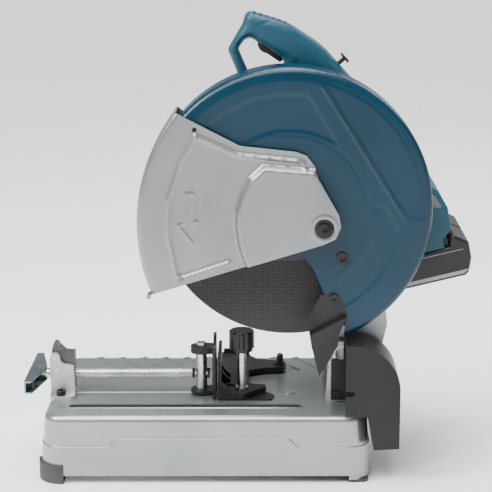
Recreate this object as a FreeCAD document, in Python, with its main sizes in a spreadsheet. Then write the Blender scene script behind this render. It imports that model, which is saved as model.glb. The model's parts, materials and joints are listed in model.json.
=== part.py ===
import FreeCAD, Part
import math
import os

# A cordless abrasive cut-off saw on a pressed base with a screw vise, in millimetres.
# +X runs along the base from the vise handle to the pivot, +Y across it, +Z up.
# The origin is on the floor, midway between the two bench bolt holes.
# The head pieces are drawn about the wheel's centre, which is their Placement.

doc = FreeCAD.newDocument("cut_off_saw")
sheet = doc.addObject("Spreadsheet::Sheet", "dims")

SIZES = {
    # wheel and its place; the head stays at the base's rear end
    "base_length": 455, "wheel_x": "=base_length / 2 - 113.5", "wheel_y": -88, "wheel_z": 380,
    "wheel_diameter": 355, "wheel_thickness": 3, "arbor_bore": 25.4,
    "flange_diameter": 76, "flange_thickness": 6.5, "spindle_diameter": 16,
    "wheel_bolt_flats": 17, "wheel_bolt_head": 7, "wheel_bolt_diameter": 10,
    # shared clearances
    "running_gap": 0.05, "moving_gap": 2, "sliding_gap": 0.5,
    # wheel guard, measured from the wheel plane
    "guard_radius": 191, "guard_front": -31, "guard_rear": 14, "guard_sheet": 2,
    "guard_edge_round": 10, "guard_nose_bore": 44,
    # safety guard
    "safety_x": 46, "safety_z": -19, "safety_radius": 248, "safety_front": -40,
    "safety_sheet": 2, "safety_lip": 10, "bulge_height": 8, "bulge_radius": 117,
    "safety_bolt_diameter": 12,
    # head pivot, measured from the wheel centre
    "pivot_x": 75, "pivot_z": -215, "pivot_shaft_diameter": 26, "pivot_shaft_bore": 19,
    "pivot_boss_radius": 26, "near_ear_start": 20, "ear_thickness": 14,
    "far_ear_start": 122, "arm_front": 36, "pivot_boss_end": 84,
    # gearbox and motor
    "case_radius": 60, "case_x": 14, "case_z": 9, "case_front": 34, "case_rear": 64,
    "case_wall": 4, "gear_module": 1.6, "gear_teeth": 41, "pinion_teeth": 10,
    "gear_width": 14, "gear_start": 36, "motor_angle": 35,
    "motor_radius": 52, "motor_end": 150, "motor_wall": 3, "cap_depth": 16,
    "stator_outer": 44, "stator_inner": 30, "stator_length": 40, "stator_start": 86,
    "motor_shaft_diameter": 12,
    # handle
    "grip_front": 26, "grip_width": 38, "grip_round": 4,
    # batteries
    "pack_x": 250, "pack_z": -101, "pack_tilt": 13.8, "pack_length": 117, "pack_inner": 110,
    "pack_width": 75, "pack_case_height": 45, "pack_rail_height": 14, "pack_rail_width": 56,
    "near_pack_y": 60, "pack_pitch": 80, "bay_front": 22, "bay_width": 156, "bay_wall": 4,
    # base
    "base_width": 266, "base_top": 95, "skirt_bottom": 11,
    "base_draft": 3.4, "base_corner": 30, "base_edge_round": 9, "base_wall": 2.5,
    "band_height": 40, "band_rise": 11.5, "band_proud": 1.5,
    "slot_left": "=wheel_x - 305", "slot_right": "=wheel_x + 20",
    "slot_width": 12, "bolt_lip": 42, "foot_rise": 4, "bench_bolt_spacing": 396, "bench_bolt_hole": 9,
    # vise
    "screw_y": -33, "screw_z": 125, "screw_diameter": 14, "screw_left": -246,
    "vise_pin_x": -8.5, "vise_pin_diameter": 16, "vise_plate_left": 8, "vise_plate_thick": 4.5,
    "vise_plate_near": -64, "vise_plate_length": 71, "vise_plate_top": 166,
    "holder_left": -221, "holder_length": 34, "holder_gap": 18, "ear_wall": 7,
    "holder_foot": 6, "lever_pin_x": -214, "lever_pin_z": 151,
    "handle_length": 125, "handle_sheet": 2,
    # guide plate
    "fence_left": 15.5, "fence_thick": 4.5, "fence_near": -66, "fence_length": 75,
    "fence_top": 160, "guide_thick": 8, "guide_pivot_x": 24, "guide_pivot_y": -58,
    "clamp_radius": 29.7, "clamp_angle": 32.6, "clamp_swing": 45, "clamp_stud": 6,
    "scale_thick": 2, "slide_gap": 0.2,
    "knob_diameter": 36, "knob_height": 30, "knob_bottom": 162, "column_diameter": 12,
    # spark box, measured from the wheel plane
    "box_near": -53, "box_far": 17, "box_sheet": 2,
    # bracket and fasteners
    "bolt_diameter": 8, "small_bolt": 5,
}


def fillSheet():
    for row, (name, value) in enumerate(SIZES.items(), start=1):
        sheet.set("A%d" % row, name)
        sheet.set("B%d" % row, str(value))
        sheet.setAlias("B%d" % row, name)
    doc.recompute()


fillSheet()
subparts = {}


def size(name):
    return float(sheet.get(name))


def cell(name):
    return "dims." + name


WHEEL = (cell("wheel_x"), cell("wheel_y"), cell("wheel_z"))
BASE = ("0", "0", "0")


# ---------------------------------------------------------------- outlines

def rounded(corners):
    """Edges of a closed outline; a corner is (x, y) or (x, y, radius)."""
    edges = []
    count = len(corners)
    starts = []
    for index, corner in enumerate(corners):
        here = FreeCAD.Vector(corner[0], corner[1], 0)
        before = FreeCAD.Vector(corners[index - 1][0], corners[index - 1][1], 0)
        after = FreeCAD.Vector(corners[(index + 1) % count][0], corners[(index + 1) % count][1], 0)
        radius = corner[2] if len(corner) > 2 else 0
        if radius == 0:
            starts.append((here, here, None))
            continue
        back = (before - here).normalize()
        ahead = (after - here).normalize()
        half = back.getAngle(ahead) / 2
        reach = radius / math.tan(half)
        centre = here + (back + ahead).normalize() * (radius / math.sin(half))
        middle = centre + (here - centre).normalize() * radius
        starts.append((here + back * reach, here + ahead * reach, middle))
    for index in range(count):
        entry, leave, middle = starts[index]
        if middle is not None:
            edges.append(Part.Arc(entry, middle, leave))
        following = starts[(index + 1) % count][0]
        if leave.distanceToPoint(following) > 1e-6:
            edges.append(Part.LineSegment(leave, following))
    return edges


def path(start, *steps):
    """Edges of a closed outline of lines (x, y) and arcs (midX, midY, x, y)."""
    edges = []
    here = FreeCAD.Vector(start[0], start[1], 0)
    for step in list(steps) + [start]:
        there = FreeCAD.Vector(step[-2], step[-1], 0)
        if here.distanceToPoint(there) < 1e-6:
            continue
        if len(step) == 4:
            edges.append(Part.Arc(here, FreeCAD.Vector(step[0], step[1], 0), there))
        else:
            edges.append(Part.LineSegment(here, there))
        here = there
    return edges


def circle(x, y, radius):
    return [Part.Circle(FreeCAD.Vector(x, y, 0), FreeCAD.Vector(0, 0, 1), radius)]


def rectangle(x0, y0, x1, y1, radius=0):
    return rounded([(x0, y0, radius), (x1, y0, radius), (x1, y1, radius), (x0, y1, radius)])


def slot(x0, y0, x1, y1, width):
    """A straight slot with round ends between two centres."""
    along = FreeCAD.Vector(x1 - x0, y1 - y0, 0).normalize()
    side = FreeCAD.Vector(-along.y, along.x, 0) * (width / 2)
    tip = along * (width / 2)
    first = FreeCAD.Vector(x0, y0, 0)
    second = FreeCAD.Vector(x1, y1, 0)
    return [
        Part.LineSegment(first + side, second + side),
        Part.Arc(second + side, second + tip, second - side),
        Part.LineSegment(second - side, first - side),
        Part.Arc(first - side, first - tip, first + side),
    ]


def hexagon(x, y, flats):
    reach = flats / math.sqrt(3)
    turns = [math.radians(60 * k) for k in range(6)]
    return rounded([(x + reach * math.cos(a), y + reach * math.sin(a)) for a in turns])


def polar(radius, degrees, x=0, y=0):
    angle = math.radians(degrees)
    return (x + radius * math.cos(angle), y + radius * math.sin(angle))


def gearOutline(module, teeth, x, y, phase):
    """A spur gear's outline with straight tooth flanks and generous backlash."""
    pitch = module * teeth / 2
    tip = pitch + 0.85 * module
    root = pitch - 1.1 * module
    step = 360 / teeth
    corners = []
    for tooth in range(teeth):
        middle = phase + tooth * step
        for radius, share in ((root, -0.33), (tip, -0.12), (tip, 0.12), (root, 0.33)):
            corners.append(polar(radius, middle + share * step, x, y))
    return rounded(corners)


# ---------------------------------------------------------------- pieces

PLANES = {"XY": ("XY_Plane", 1), "XZ": ("XZ_Plane", -1), "YZ": ("YZ_Plane", 1)}


class Piece:
    """One sub-part: a body whose features are added one after another."""

    def __init__(self, label, origin=BASE, tilt=None):
        self.body = doc.addObject("PartDesign::Body", label)
        self.body.Label = label
        for axis, expression in zip("xyz", origin):
            self.body.setExpression("Placement.Base." + axis, expression)
        if tilt:
            self.body.Placement.Rotation = FreeCAD.Rotation(FreeCAD.Vector(0, 1, 0), 1)
            self.body.setExpression("Placement.Rotation.Angle", "-(%s)" % tilt)
        self.count = 0
        subparts[label] = self.body

    def sketch(self, plane, edges, start):
        role, sign = PLANES[plane]
        support = [o for o in self.body.Origin.OriginFeatures if o.Role == role][0]
        self.count += 1
        drawn = self.body.newObject("Sketcher::SketchObject", "%sSketch%d" % (self.body.Name, self.count))
        drawn.AttachmentSupport = (support, [""])
        drawn.MapMode = "FlatFace"
        drawn.addGeometry(edges, False)
        drawn.setExpression("AttachmentOffset.Base.z", "%d * (%s)" % (sign, start))
        return drawn

    def pad(self, plane, edges, start, length, taper=None):
        """Adds an outline's prism from start, along the plane's own axis."""
        drawn = self.sketch(plane, edges, start)
        feature = self.body.newObject("PartDesign::Pad", "%sPad%d" % (self.body.Name, self.count))
        feature.Profile = drawn
        feature.Reversed = plane == "XZ"
        feature.setExpression("Length", length)
        if taper:
            feature.setExpression("TaperAngle", taper)
        doc.recompute()
        return feature

    def cut(self, plane, edges, start, length, taper=None):
        """Takes an outline's prism away, and checks that it took something."""
        before = self.body.Shape.Volume
        drawn = self.sketch(plane, edges, start)
        feature = self.body.newObject("PartDesign::Pocket", "%sPocket%d" % (self.body.Name, self.count))
        feature.Profile = drawn
        feature.Reversed = plane != "XZ"
        feature.setExpression("Length", length)
        if taper:
            feature.setExpression("TaperAngle", taper)
        doc.recompute()
        if self.body.Shape.Volume > before - 0.01:
            raise RuntimeError("%s: pocket %d cuts nothing" % (self.body.Label, self.count))
        return feature

    def turn(self, plane, edges, axis, cutting=False):
        """Turns an outline a full circle about its sketch's own axis."""
        drawn = self.sketch(plane, edges, "0")
        kind = "PartDesign::Groove" if cutting else "PartDesign::Revolution"
        feature = self.body.newObject(kind, "%sTurn%d" % (self.body.Name, self.count))
        feature.Profile = drawn
        feature.ReferenceAxis = (drawn, [axis])
        feature.Angle = 360
        doc.recompute()
        return feature

    def fillet(self, chosen, radius):
        """Rounds the edges that chosen(edge) accepts."""
        base = self.body.Tip
        names = ["Edge%d" % (i + 1) for i, edge in enumerate(base.Shape.Edges) if chosen(edge)]
        if not names:
            raise RuntimeError("%s: no edge to round" % self.body.Label)
        feature = self.body.newObject("PartDesign::Fillet", self.body.Name + "Fillet")
        feature.Base = (base, names)
        feature.setExpression("Radius", radius)
        doc.recompute()
        if "Invalid" in feature.State:
            raise RuntimeError("%s: rounding failed" % self.body.Label)
        return feature


def group(label, shapes):
    """Several separate solids of one kind in one sub-part."""
    made = doc.addObject("Part::Feature", label)
    made.Label = label
    made.Shape = Part.makeCompound(shapes)
    subparts[label] = made


def rod(x, y, z, direction, radius, length):
    """A plain round bar from a point along a direction."""
    return Part.makeCylinder(radius, length, FreeCAD.Vector(x, y, z), FreeCAD.Vector(*direction))


def bolt(x, y, z, direction, radius, shank, headRadius, head):
    """A cap screw whose head stands on (x, y, z) and whose shank runs back along the direction."""
    along = FreeCAD.Vector(*direction).normalize()
    seat = FreeCAD.Vector(x, y, z)
    top = Part.makeCylinder(headRadius, head, seat, along)
    socket = Part.makeCylinder(headRadius * 0.5, head * 0.5, seat + along * (head * 0.5), along)
    stem = Part.makeCylinder(radius, shank, seat, along * -1)
    return top.fuse(stem).cut(socket)


def fromWheel(x, y, z):
    return (size("wheel_x") + x, size("wheel_y") + y, size("wheel_z") + z)


def alongY(edge, y):
    """True for an edge that lies in one plane across Y, in the piece's own frame."""
    box = edge.BoundBox
    return abs(box.YMin - y) < 0.01 and abs(box.YMax - y) < 0.01


# ---------------------------------------------------------------- base

def baseOutline(grow=0):
    halfX = size("base_length") / 2 + grow
    halfY = size("base_width") / 2 + grow
    return rectangle(-halfX, -halfY, halfX, halfY, size("base_corner") + grow)


def aboveBandOutline():
    """What lies above the proud lower band, seen along Y: the band is higher in its middle."""
    half = size("base_length")
    low = size("skirt_bottom") + size("band_height")
    rise = size("band_rise")
    left = size("wheel_x") - 247
    right = size("wheel_x") + 12
    corners = [(-half, low), (left, low), (left + rise, low + rise), (right - rise, low + rise), (right, low)]
    return rounded(corners + [(half, low), (half, 2 * size("base_top")), (-half, 2 * size("base_top"))])


def makeBaseShell():
    """A drafted pan: a proud lower band, then the upper walls, rounded over and hollowed."""
    shell = Piece("base_shell")
    tall = "dims.base_top - dims.skirt_bottom"
    shell.pad("XY", baseOutline(size("band_proud")), cell("skirt_bottom"), tall, "-dims.base_draft")
    shell.cut("XZ", aboveBandOutline(), "-dims.base_width", "2 * dims.base_width")
    shell.pad("XY", baseOutline(), cell("skirt_bottom"), tall, "-dims.base_draft")
    top = size("base_top")
    shell.fillet(lambda e: e.BoundBox.ZMin > top - 0.01, cell("base_edge_round"))
    wall = size("base_wall")
    shell.cut("XY", baseOutline(-wall), "dims.skirt_bottom - 1", tall + " - dims.base_wall + 1",
              "-dims.base_draft")
    inside = top - wall
    shell.fillet(lambda e: abs(e.BoundBox.ZMin - inside) < 0.01 and abs(e.BoundBox.ZMax - inside) < 0.01,
                 "dims.base_edge_round - dims.base_wall")
    return shell


def makeBaseOpenings(shell):
    floor = "dims.base_top - dims.base_edge_round"
    wheelSlot = slot(size("slot_left") + size("slot_width") / 2, size("wheel_y"),
                     size("slot_right") - size("slot_width") / 2, size("wheel_y"), size("slot_width"))
    shell.cut("XY", wheelSlot, floor, "dims.base_edge_round + 5")
    for x, y in bracketBolts() + holderBolts() + [baseScrewPlace()]:
        shell.cut("XY", circle(x, y, size("bolt_diameter") / 2), floor, "dims.base_edge_round + 5")
    x, y = clampPlace()
    shell.cut("XY", circle(x, y, size("clamp_stud") / 2), floor, "dims.base_edge_round + 5")
    shell.cut("XY", circle(size("guide_pivot_x"), size("guide_pivot_y"), size("clamp_stud") / 2),
              floor, "dims.base_edge_round + 5")


def makeBoltLips(shell):
    """Flat lips at the two ends, on the floor, with the bench bolt holes."""
    half = size("base_length") / 2
    lip = size("bolt_lip")
    hole = size("bench_bolt_spacing") / 2
    for side in (-1, 1):
        wallX = side * (half - 1)
        inX = side * (half - lip)
        outline = rectangle(min(wallX, inX), -25, max(wallX, inX), 25)
        shell.pad("XY", outline + circle(side * hole, 0, size("bench_bolt_hole") / 2), "0", cell("base_wall"))
        web = rectangle(min(wallX, wallX - side * 2.5), -25, max(wallX, wallX - side * 2.5), 25)
        shell.pad("XY", web, "0", "dims.skirt_bottom + 3")


def makeRearLegs(shell):
    """The two rear corners of the skirt reach down to the rear feet."""
    inX = size("base_length") / 2 - size("base_corner")
    inY = size("base_width") / 2 - size("base_corner")
    ring = baseOutline(-0.4) + baseOutline(-size("base_wall") - 0.4)
    shell.pad("XY", ring, cell("foot_rise"), "dims.skirt_bottom - dims.foot_rise + 2")
    reach = size("base_length")
    shell.cut("XY", rectangle(-reach, -reach, inX, reach), "0", cell("skirt_bottom"))
    shell.cut("XY", rectangle(inX - 5, -inY, reach, inY), "0", cell("skirt_bottom"))


def baseScrewPlace():
    return (116, -31)


def bracketBolts():
    x = size("wheel_x") + size("pivot_x")
    y = size("wheel_y")
    near = y + size("near_ear_start") + 40
    far = y + size("far_ear_start") - 26
    return [(x + 16, near), (x + 16, far)]


def holderBolts():
    x = size("holder_left") + size("holder_length") * 0.45
    reach = size("holder_gap") / 2 + size("ear_wall") + 9
    return [(x, size("screw_y") - reach), (x, size("screw_y") + reach)]


def makeFeet():
    half = size("base_length") / 2
    wide = size("base_width") / 2
    corner = size("base_corner")
    proud = size("band_proud")
    front = []
    rear = []
    for side in (-1, 1):
        outer = path((-half - proud - 3, side * (wide - corner - 4)),
                     (-half - proud - 3, side * (wide - corner)),
                     (-half - proud - 3 + 0.293 * (corner + 3),
                      side * (wide + proud + 3 - 0.293 * (corner + 3)),
                      -half + corner, side * (wide + proud + 3)),
                     (-half + corner + 2, side * (wide + proud + 3)),
                     (-half + corner + 2, side * (wide - corner - 4)))
        front.append(prism(outer, 0, 26, baseSolid(0.2)))
        pad = rectangle(half - corner - 2, side * (wide - corner / 2) - corner / 2 + 3,
                        half - 3, side * (wide - corner / 2) + corner / 2 - 3, 8)
        rear.append(prism(pad, 0, 4, None))
    group("front_feet", front)
    group("rear_feet", rear)


def prism(edges, low, high, less):
    face = Part.Face(Part.Wire([e.toShape() for e in edges]))
    solid = face.extrude(FreeCAD.Vector(0, 0, high - low))
    solid.translate(FreeCAD.Vector(0, 0, low))
    return solid.cut(less) if less else solid


def baseSolid(gap):
    """The base's outer form as one block, grown by a gap, that the feet wrap round."""
    low = size("skirt_bottom") - gap
    grow = size("band_proud") + gap
    lower = Part.Wire([e.toShape() for e in baseOutline(grow)])
    shrink = math.tan(math.radians(size("base_draft"))) * size("band_height")
    upper = Part.Wire([e.toShape() for e in baseOutline(grow - shrink)])
    lower.translate(FreeCAD.Vector(0, 0, low))
    upper.translate(FreeCAD.Vector(0, 0, low + size("band_height")))
    return Part.makeLoft([lower, upper], True, True)


def makeBracket():
    """The cast pivot bracket: two ears, a foot behind them and a rib."""
    bracket = Piece("pivot_bracket", (cell("wheel_x") + " + dims.pivot_x", cell("wheel_y"), cell("base_top")))
    rise = size("wheel_z") + size("pivot_z") - size("base_top")
    ear = path((-22, 0), (-18, rise), (0, rise + 18, 18, rise), (30, 8), (30, 0))
    for start in ("near_ear_start", "far_ear_start"):
        bracket.pad("XZ", ear + circle(0, rise, size("pivot_shaft_diameter") / 2), cell(start),
                    cell("ear_thickness"))
    depth = "dims.far_ear_start - dims.near_ear_start"
    bracket.pad("XZ", rectangle(6, 0, 30, 9), cell("near_ear_start"), depth)
    bracket.pad("XZ", rectangle(24, 0, 30, 26), cell("near_ear_start"), depth)
    for x, y in bracketBolts():
        hole = circle(x - size("wheel_x") - size("pivot_x"), y - size("wheel_y"), size("bolt_diameter") / 2)
        bracket.cut("XY", hole, "-1", "12")
    bolts = [bolt(x, y, size("base_top") + 9, (0, 0, 1), size("bolt_diameter") / 2,
                  9 + size("base_wall") + 6, 6.5, 6)
             for x, y in bracketBolts()]
    group("bracket_bolts", bolts)


def makePivotShaft():
    shaft = Piece("pivot_shaft", (cell("wheel_x") + " + dims.pivot_x", cell("wheel_y"),
                                  cell("wheel_z") + " + dims.pivot_z"))
    radius = size("pivot_shaft_diameter") / 2
    shaft.pad("XZ", circle(0, 0, radius) + circle(0, 0, size("pivot_shaft_bore") / 2),
              "dims.near_ear_start - 1",
              "dims.far_ear_start - dims.near_ear_start + dims.ear_thickness + 2")


def makeLiftSpring():
    """A torsion spring round the pivot shaft, between the arm's boss and the far ear."""
    wire = 2.2
    start = size("pivot_boss_end") + 4
    room = size("far_ear_start") - start - 4
    coil = doc.addObject("Part::Helix", "liftSpringPath")
    coil.Radius = size("pivot_shaft_diameter") / 2 + 5
    coil.Pitch = 6
    coil.Height = room - 2 * wire
    coil.Placement = FreeCAD.Placement(
        FreeCAD.Vector(*fromWheel(size("pivot_x"), start + wire, size("pivot_z"))),
        FreeCAD.Rotation(FreeCAD.Vector(1, 0, 0), -90))
    ring = doc.addObject("Part::Circle", "liftSpringWire")
    ring.Radius = wire
    begin = FreeCAD.Vector(coil.Radius.Value, 0, 0)
    standing = FreeCAD.Rotation(FreeCAD.Vector(1, 0, 0), 90)
    ring.Placement = coil.Placement.multiply(FreeCAD.Placement(begin, standing))
    spring = doc.addObject("Part::Sweep", "lift_spring")
    spring.Label = "lift_spring"
    spring.Sections = [ring]
    spring.Spine = (coil, [])
    spring.Solid = True
    spring.Frenet = True
    doc.recompute()
    subparts["lift_spring"] = spring


# ---------------------------------------------------------------- vise

def makeHolder():
    """The vise's cast holder: a foot and two ears that the screw passes between."""
    holder = Piece("vise_holder", (cell("holder_left"), cell("screw_y"), cell("base_top")))
    long = size("holder_length")
    rise = size("screw_z") - size("base_top")
    half = size("holder_gap") / 2
    wall = size("ear_wall")
    foot = rectangle(0, -half - wall - 18, long, half + wall + 18, 7)
    holder.pad("XY", foot, "0", cell("holder_foot"))
    pinX = size("lever_pin_x") - size("holder_left")
    pinZ = size("lever_pin_z") - size("base_top")
    ear = path((0, 2), (0, pinZ), (pinX, pinZ + 8, 2 * pinX, pinZ),
               (2 * pinX + 3, rise + 20, 2 * pinX + 12, rise + 17), (long - 1, rise + 15), (long, 2))
    for start in (-half - wall, half):
        holder.pad("XZ", ear, str(start), cell("ear_wall"))
    holder.pad("XZ", rectangle(8, 2, long - 4, rise - 12), str(-half), cell("holder_gap"))
    pins = circle(pinX, pinZ, 2.5) + circle(pinX + 2, pinZ - 16, 2.5)
    for start in (-half - wall - 1, half - 1):
        holder.cut("XZ", pins, str(start), "dims.ear_wall + 2")
    for x, y in holderBolts():
        hole = circle(x - size("holder_left"), y - size("screw_y"), size("bolt_diameter") / 2)
        holder.cut("XY", hole, "-1", "dims.holder_foot + 2")
    top = size("base_top") + size("holder_foot")
    shank = size("holder_foot") + size("base_wall") + 6
    group("holder_bolts", [bolt(x, y, top, (0, 0, 1), size("bolt_diameter") / 2, shank, 6.5, 7)
                           for x, y in holderBolts()])
    wide = size("holder_gap") + 2 * wall
    near = size("screw_y") - wide / 2
    pivot = rod(size("lever_pin_x"), near, size("lever_pin_z"), (0, 1, 0), 2.5, wide)
    stubs = [rod(size("lever_pin_x") + 2, near + shift, size("lever_pin_z") - 16, (0, 1, 0), 2.5, wall)
             for shift in (0, wide - wall)]
    group("holder_pins", [pivot] + stubs)


def makeNutLever():
    """The quick release: half a nut that flips up off the screw."""
    lever = Piece("nut_lever", (cell("lever_pin_x"), cell("screw_y"), cell("lever_pin_z")))
    gap = size("sliding_gap")
    reach = size("screw_z") + size("screw_diameter") / 2 - size("lever_pin_z") + 0.3
    outline = path((-6, -6), (-5, 12), (-2, 21), (2, 21, 5, 17), (14, 8), (27, 7), (27, reach), (8, reach),
                   (7, -9))
    half = size("holder_gap") / 2 - gap
    lever.pad("XZ", outline + circle(0, 0, 2.5 + size("running_gap")), str(-half), str(2 * half))


def screwProfile(length, neck):
    """Half the screw's outline: a thread of plain ridges and a plain end."""
    outer = size("screw_diameter") / 2
    root = outer - 1.2
    pitch = 4.0
    corners = [(0, 0), (0, outer), (neck, outer), (neck, root)]
    end = size("vise_pin_diameter") / 2 + 17
    count = int((length - neck - end) / pitch)
    for turn in range(count):
        x = neck + turn * pitch
        corners += [(x + 1.2, root), (x + 2.0, outer), (x + 3.2, outer), (x + 4.0, root)]
    corners += [(length - end, root), (length - end, 4), (length, 4), (length, 0)]
    return rounded(corners)


def makeScrew():
    screw = Piece("vise_screw", (cell("screw_left"), cell("screw_y"), cell("screw_z")))
    length = size("vise_pin_x") + 11 - size("screw_left")
    screw.turn("XZ", screwProfile(length, 22), "H_Axis")
    screw.cut("XY", circle(9, 0, 2.5), "-10", "20")


def makeViseHandle():
    """A wing of folded sheet, pinned across the screw's outer end."""
    handle = Piece("vise_handle", (cell("screw_left"), cell("screw_y"), cell("screw_z")))
    half = size("handle_length") / 2
    sheetThick = size("handle_sheet")
    inside = size("screw_diameter") / 2 + 0.1
    wing = rounded([(-5, -half, 3), (5, -half, 2), (18, -4, 4), (18, 4, 4), (5, half, 2), (-5, half, 3)])
    for low in (inside, -inside - sheetThick):
        handle.pad("XY", wing + circle(9, 0, 2.5), str(low), cell("handle_sheet"))
    handle.pad("XY", rectangle(-5, -half, -5 + sheetThick, half), str(-inside), str(2 * inside))
    reach = inside + sheetThick + 1
    x, y, z = size("screw_left") + 9, size("screw_y"), size("screw_z")
    group("handle_rivet", [rod(x, y, z - reach, (0, 0, 1), 2.5, 2 * reach)])


def makeVisePin():
    """The upright pin at the screw's end that the vise plate hangs on, with its cap screw."""
    low = size("base_top") + 2
    pin = Piece("vise_pin", (cell("vise_pin_x"), cell("screw_y"), "0"))
    radius = size("vise_pin_diameter") / 2
    pin.pad("XY", circle(0, 0, radius), str(low + 5.3), str(size("vise_plate_top") - 9.3 - low - 5.3))
    pin.pad("XY", circle(0, 0, 5), str(low), str(size("vise_plate_top") + 1 - low))
    pin.pad("XY", hexagon(0, 0, 13), str(size("vise_plate_top")), "5")
    pin.cut("YZ", circle(0, size("screw_z"), 4 + size("running_gap")), "-20", "40")


def makeVisePlate():
    """The moving jaw: an upright plate with two round lugs on the pin."""
    low = size("base_top") + 2
    plate = Piece("vise_plate", ("0", cell("screw_y"), "0"))
    left = size("vise_plate_left")
    near = size("vise_plate_near") - size("screw_y")
    far = near + size("vise_plate_length")
    top = size("vise_plate_top")
    upright = rounded([(near, low), (far, low), (far, top + 8, 3), (far - 14, top + 8, 3), (far - 18, top),
                       (near + 18, top), (near + 14, top + 8, 3), (near, top + 8, 3)])
    plate.pad("YZ", upright, str(left), cell("vise_plate_thick"))
    pinX = size("vise_pin_x")
    lug = path((left, -12), (pinX, -15), (pinX - 15, 0, pinX, 15), (left, 12))
    for start, thick in ((low, 5), (top - 9, 9)):
        plate.pad("XY", lug + circle(pinX, 0, 5 + size("running_gap")), str(start), str(thick))


def makeViseNuts():
    """The two nuts that hold the pin between them on the screw's end."""
    gap = size("vise_pin_diameter") / 2 + 0.3
    nuts = []
    for x in (size("vise_pin_x") - gap - 4.5, size("vise_pin_x") + gap):
        face = Part.Face([Part.Wire([e.toShape() for e in hexagon(0, 0, 13)])])
        nut = face.extrude(FreeCAD.Vector(0, 0, 3.4))
        nut.rotate(FreeCAD.Vector(), FreeCAD.Vector(0, 1, 0), 90)
        nut.translate(FreeCAD.Vector(x, size("screw_y"), size("screw_z")))
        nuts.append(nut.cut(rod(x - 1, size("screw_y"), size("screw_z"), (1, 0, 0), 4, 8)))
    group("vise_nuts", nuts)


# ---------------------------------------------------------------- guide plate

def clampPlace():
    return polar(size("clamp_radius"), size("clamp_angle"), size("guide_pivot_x"), size("guide_pivot_y"))


def makeGuidePlate():
    """The fixed jaw: a fence on a flat casting that swivels about a pin at the fence's near end."""
    seat = "dims.base_top + dims.scale_thick + dims.slide_gap"
    guide = Piece("guide_plate", (cell("guide_pivot_x"), cell("guide_pivot_y"), seat))
    left = size("fence_left") - size("guide_pivot_x")
    near = size("fence_near") - size("guide_pivot_y")
    back = left + size("fence_thick")
    flat = rounded([(left, near), (28, near, 4), (60, near + 32, 6), (58, near + 40, 4), (36, near + 44, 8),
                    (33, 92, 12), (58, 104, 10), (84, 106, 6), (90, 122, 8), (80, 138, 8),
                    (42, 146, 12), (30, 178, 8), (left, 178, 4)])
    radius = size("clamp_radius")
    start, stop = size("clamp_angle"), size("clamp_angle") + size("clamp_swing")
    half = size("clamp_stud") / 2 + size("sliding_gap")
    arcs = path(polar(radius + half, start),
                polar(radius + half, (start + stop) / 2) + polar(radius + half, stop),
                shiftedEnd(radius, stop, half, 90) + polar(radius - half, stop),
                polar(radius - half, (start + stop) / 2) + polar(radius - half, start),
                shiftedEnd(radius, start, half, -90) + polar(radius + half, start))
    pivotHole = circle(0, 0, size("clamp_stud") / 2 + size("running_gap"))
    guide.pad("XY", flat + arcs + pivotHole, "0", cell("guide_thick"))
    tall = "dims.fence_top - (%s)" % seat
    guide.pad("XY", rectangle(left, near, back, near + size("fence_length")), "0", tall)
    for y in (near, near + 48, near + 71):
        rib = path((back - 1, 6), (back - 1, 46), (back + 3, 22, back + 12, 13), (back + 12, 6))
        guide.pad("XZ", rib, str(y), "4")
    rim = path((back - 1, 172), (back - 1, 178), (30, 178), (34, 166), (30, 164), (27, 172))
    guide.pad("XY", rim, "6", "8")


def makeAngleScale():
    """The fixed protractor plate under the guide plate."""
    plate = Piece("angle_scale", ("0", "0", cell("base_top")))
    near = size("fence_near") + 1
    outline = rounded([(size("fence_left") + 4, near, 3), (91, near, 5), (96, near + 16, 6),
                       (86, near + 30, 6),
                       (size("fence_left") + 4, near + 30, 3)])
    holes = []
    for x, y in (clampPlace(), (size("guide_pivot_x"), size("guide_pivot_y"))):
        holes += circle(x, y, size("clamp_stud") / 2)
    plate.pad("XY", outline + holes, "0", cell("scale_thick"))


def shiftedEnd(radius, degrees, half, turn):
    x, y = polar(radius, degrees)
    dx, dy = polar(half, degrees + turn)
    return (x + dx, y + dy)


def makeGuidePost():
    """A capped post on the guide plate's far arm."""
    seat = "dims.base_top + dims.scale_thick + dims.slide_gap + dims.guide_thick"
    post = Piece("guide_post", ("dims.guide_pivot_x + 80", "dims.guide_pivot_y + 121", seat))
    post.pad("XY", circle(0, 0, 8), "0", "3")
    post.pad("XY", circle(0, 0, 5), "3", "14")
    post.fillet(lambda e: e.BoundBox.ZMin > 16.9, "4")


def makeClamp():
    """The guide's pivot pin, the clamp stud with its sleeve, and the knob."""
    x, y = clampPlace()
    gap = size("slide_gap")
    seat = size("base_top") + size("scale_thick") + gap + size("guide_thick")
    low = size("base_top") - size("base_wall") - 4
    radius = size("clamp_stud") / 2
    pinTop = seat - gap
    group("guide_pivot", [rod(size("guide_pivot_x"), size("guide_pivot_y"), low, (0, 0, 1), radius,
                              pinTop - low)])
    stud = Piece("clamp_stud", (str(x), str(y), "0"))
    stud.pad("XY", circle(0, 0, radius), str(low), "dims.knob_bottom + dims.knob_height - 12 - %s" % low)
    stud.pad("XY", circle(0, 0, 9), str(seat + gap), "3")
    stud.pad("XY", circle(0, 0, size("column_diameter") / 2), str(seat + 3),
             "dims.knob_bottom - 0.3 - %s" % (seat + 3))
    knob = Piece("clamp_knob", (str(x), str(y), cell("knob_bottom")))
    outer = size("knob_diameter") / 2
    knob.pad("XY", circle(0, 0, outer - 2.5), "0", "6")
    knob.pad("XY", circle(0, 0, outer), "5", "dims.knob_height - 5")
    knob.fillet(lambda e: e.BoundBox.ZMin > size("knob_height") - 0.01, "3")
    for flute in range(10):
        fx, fy = polar(outer + 2.2, 36 * flute)
        knob.cut("XY", circle(fx, fy, 4), "4", "dims.knob_height")
    knob.cut("XY", circle(0, 0, radius + size("running_gap")), "-1", "dims.knob_height - 10")


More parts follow.
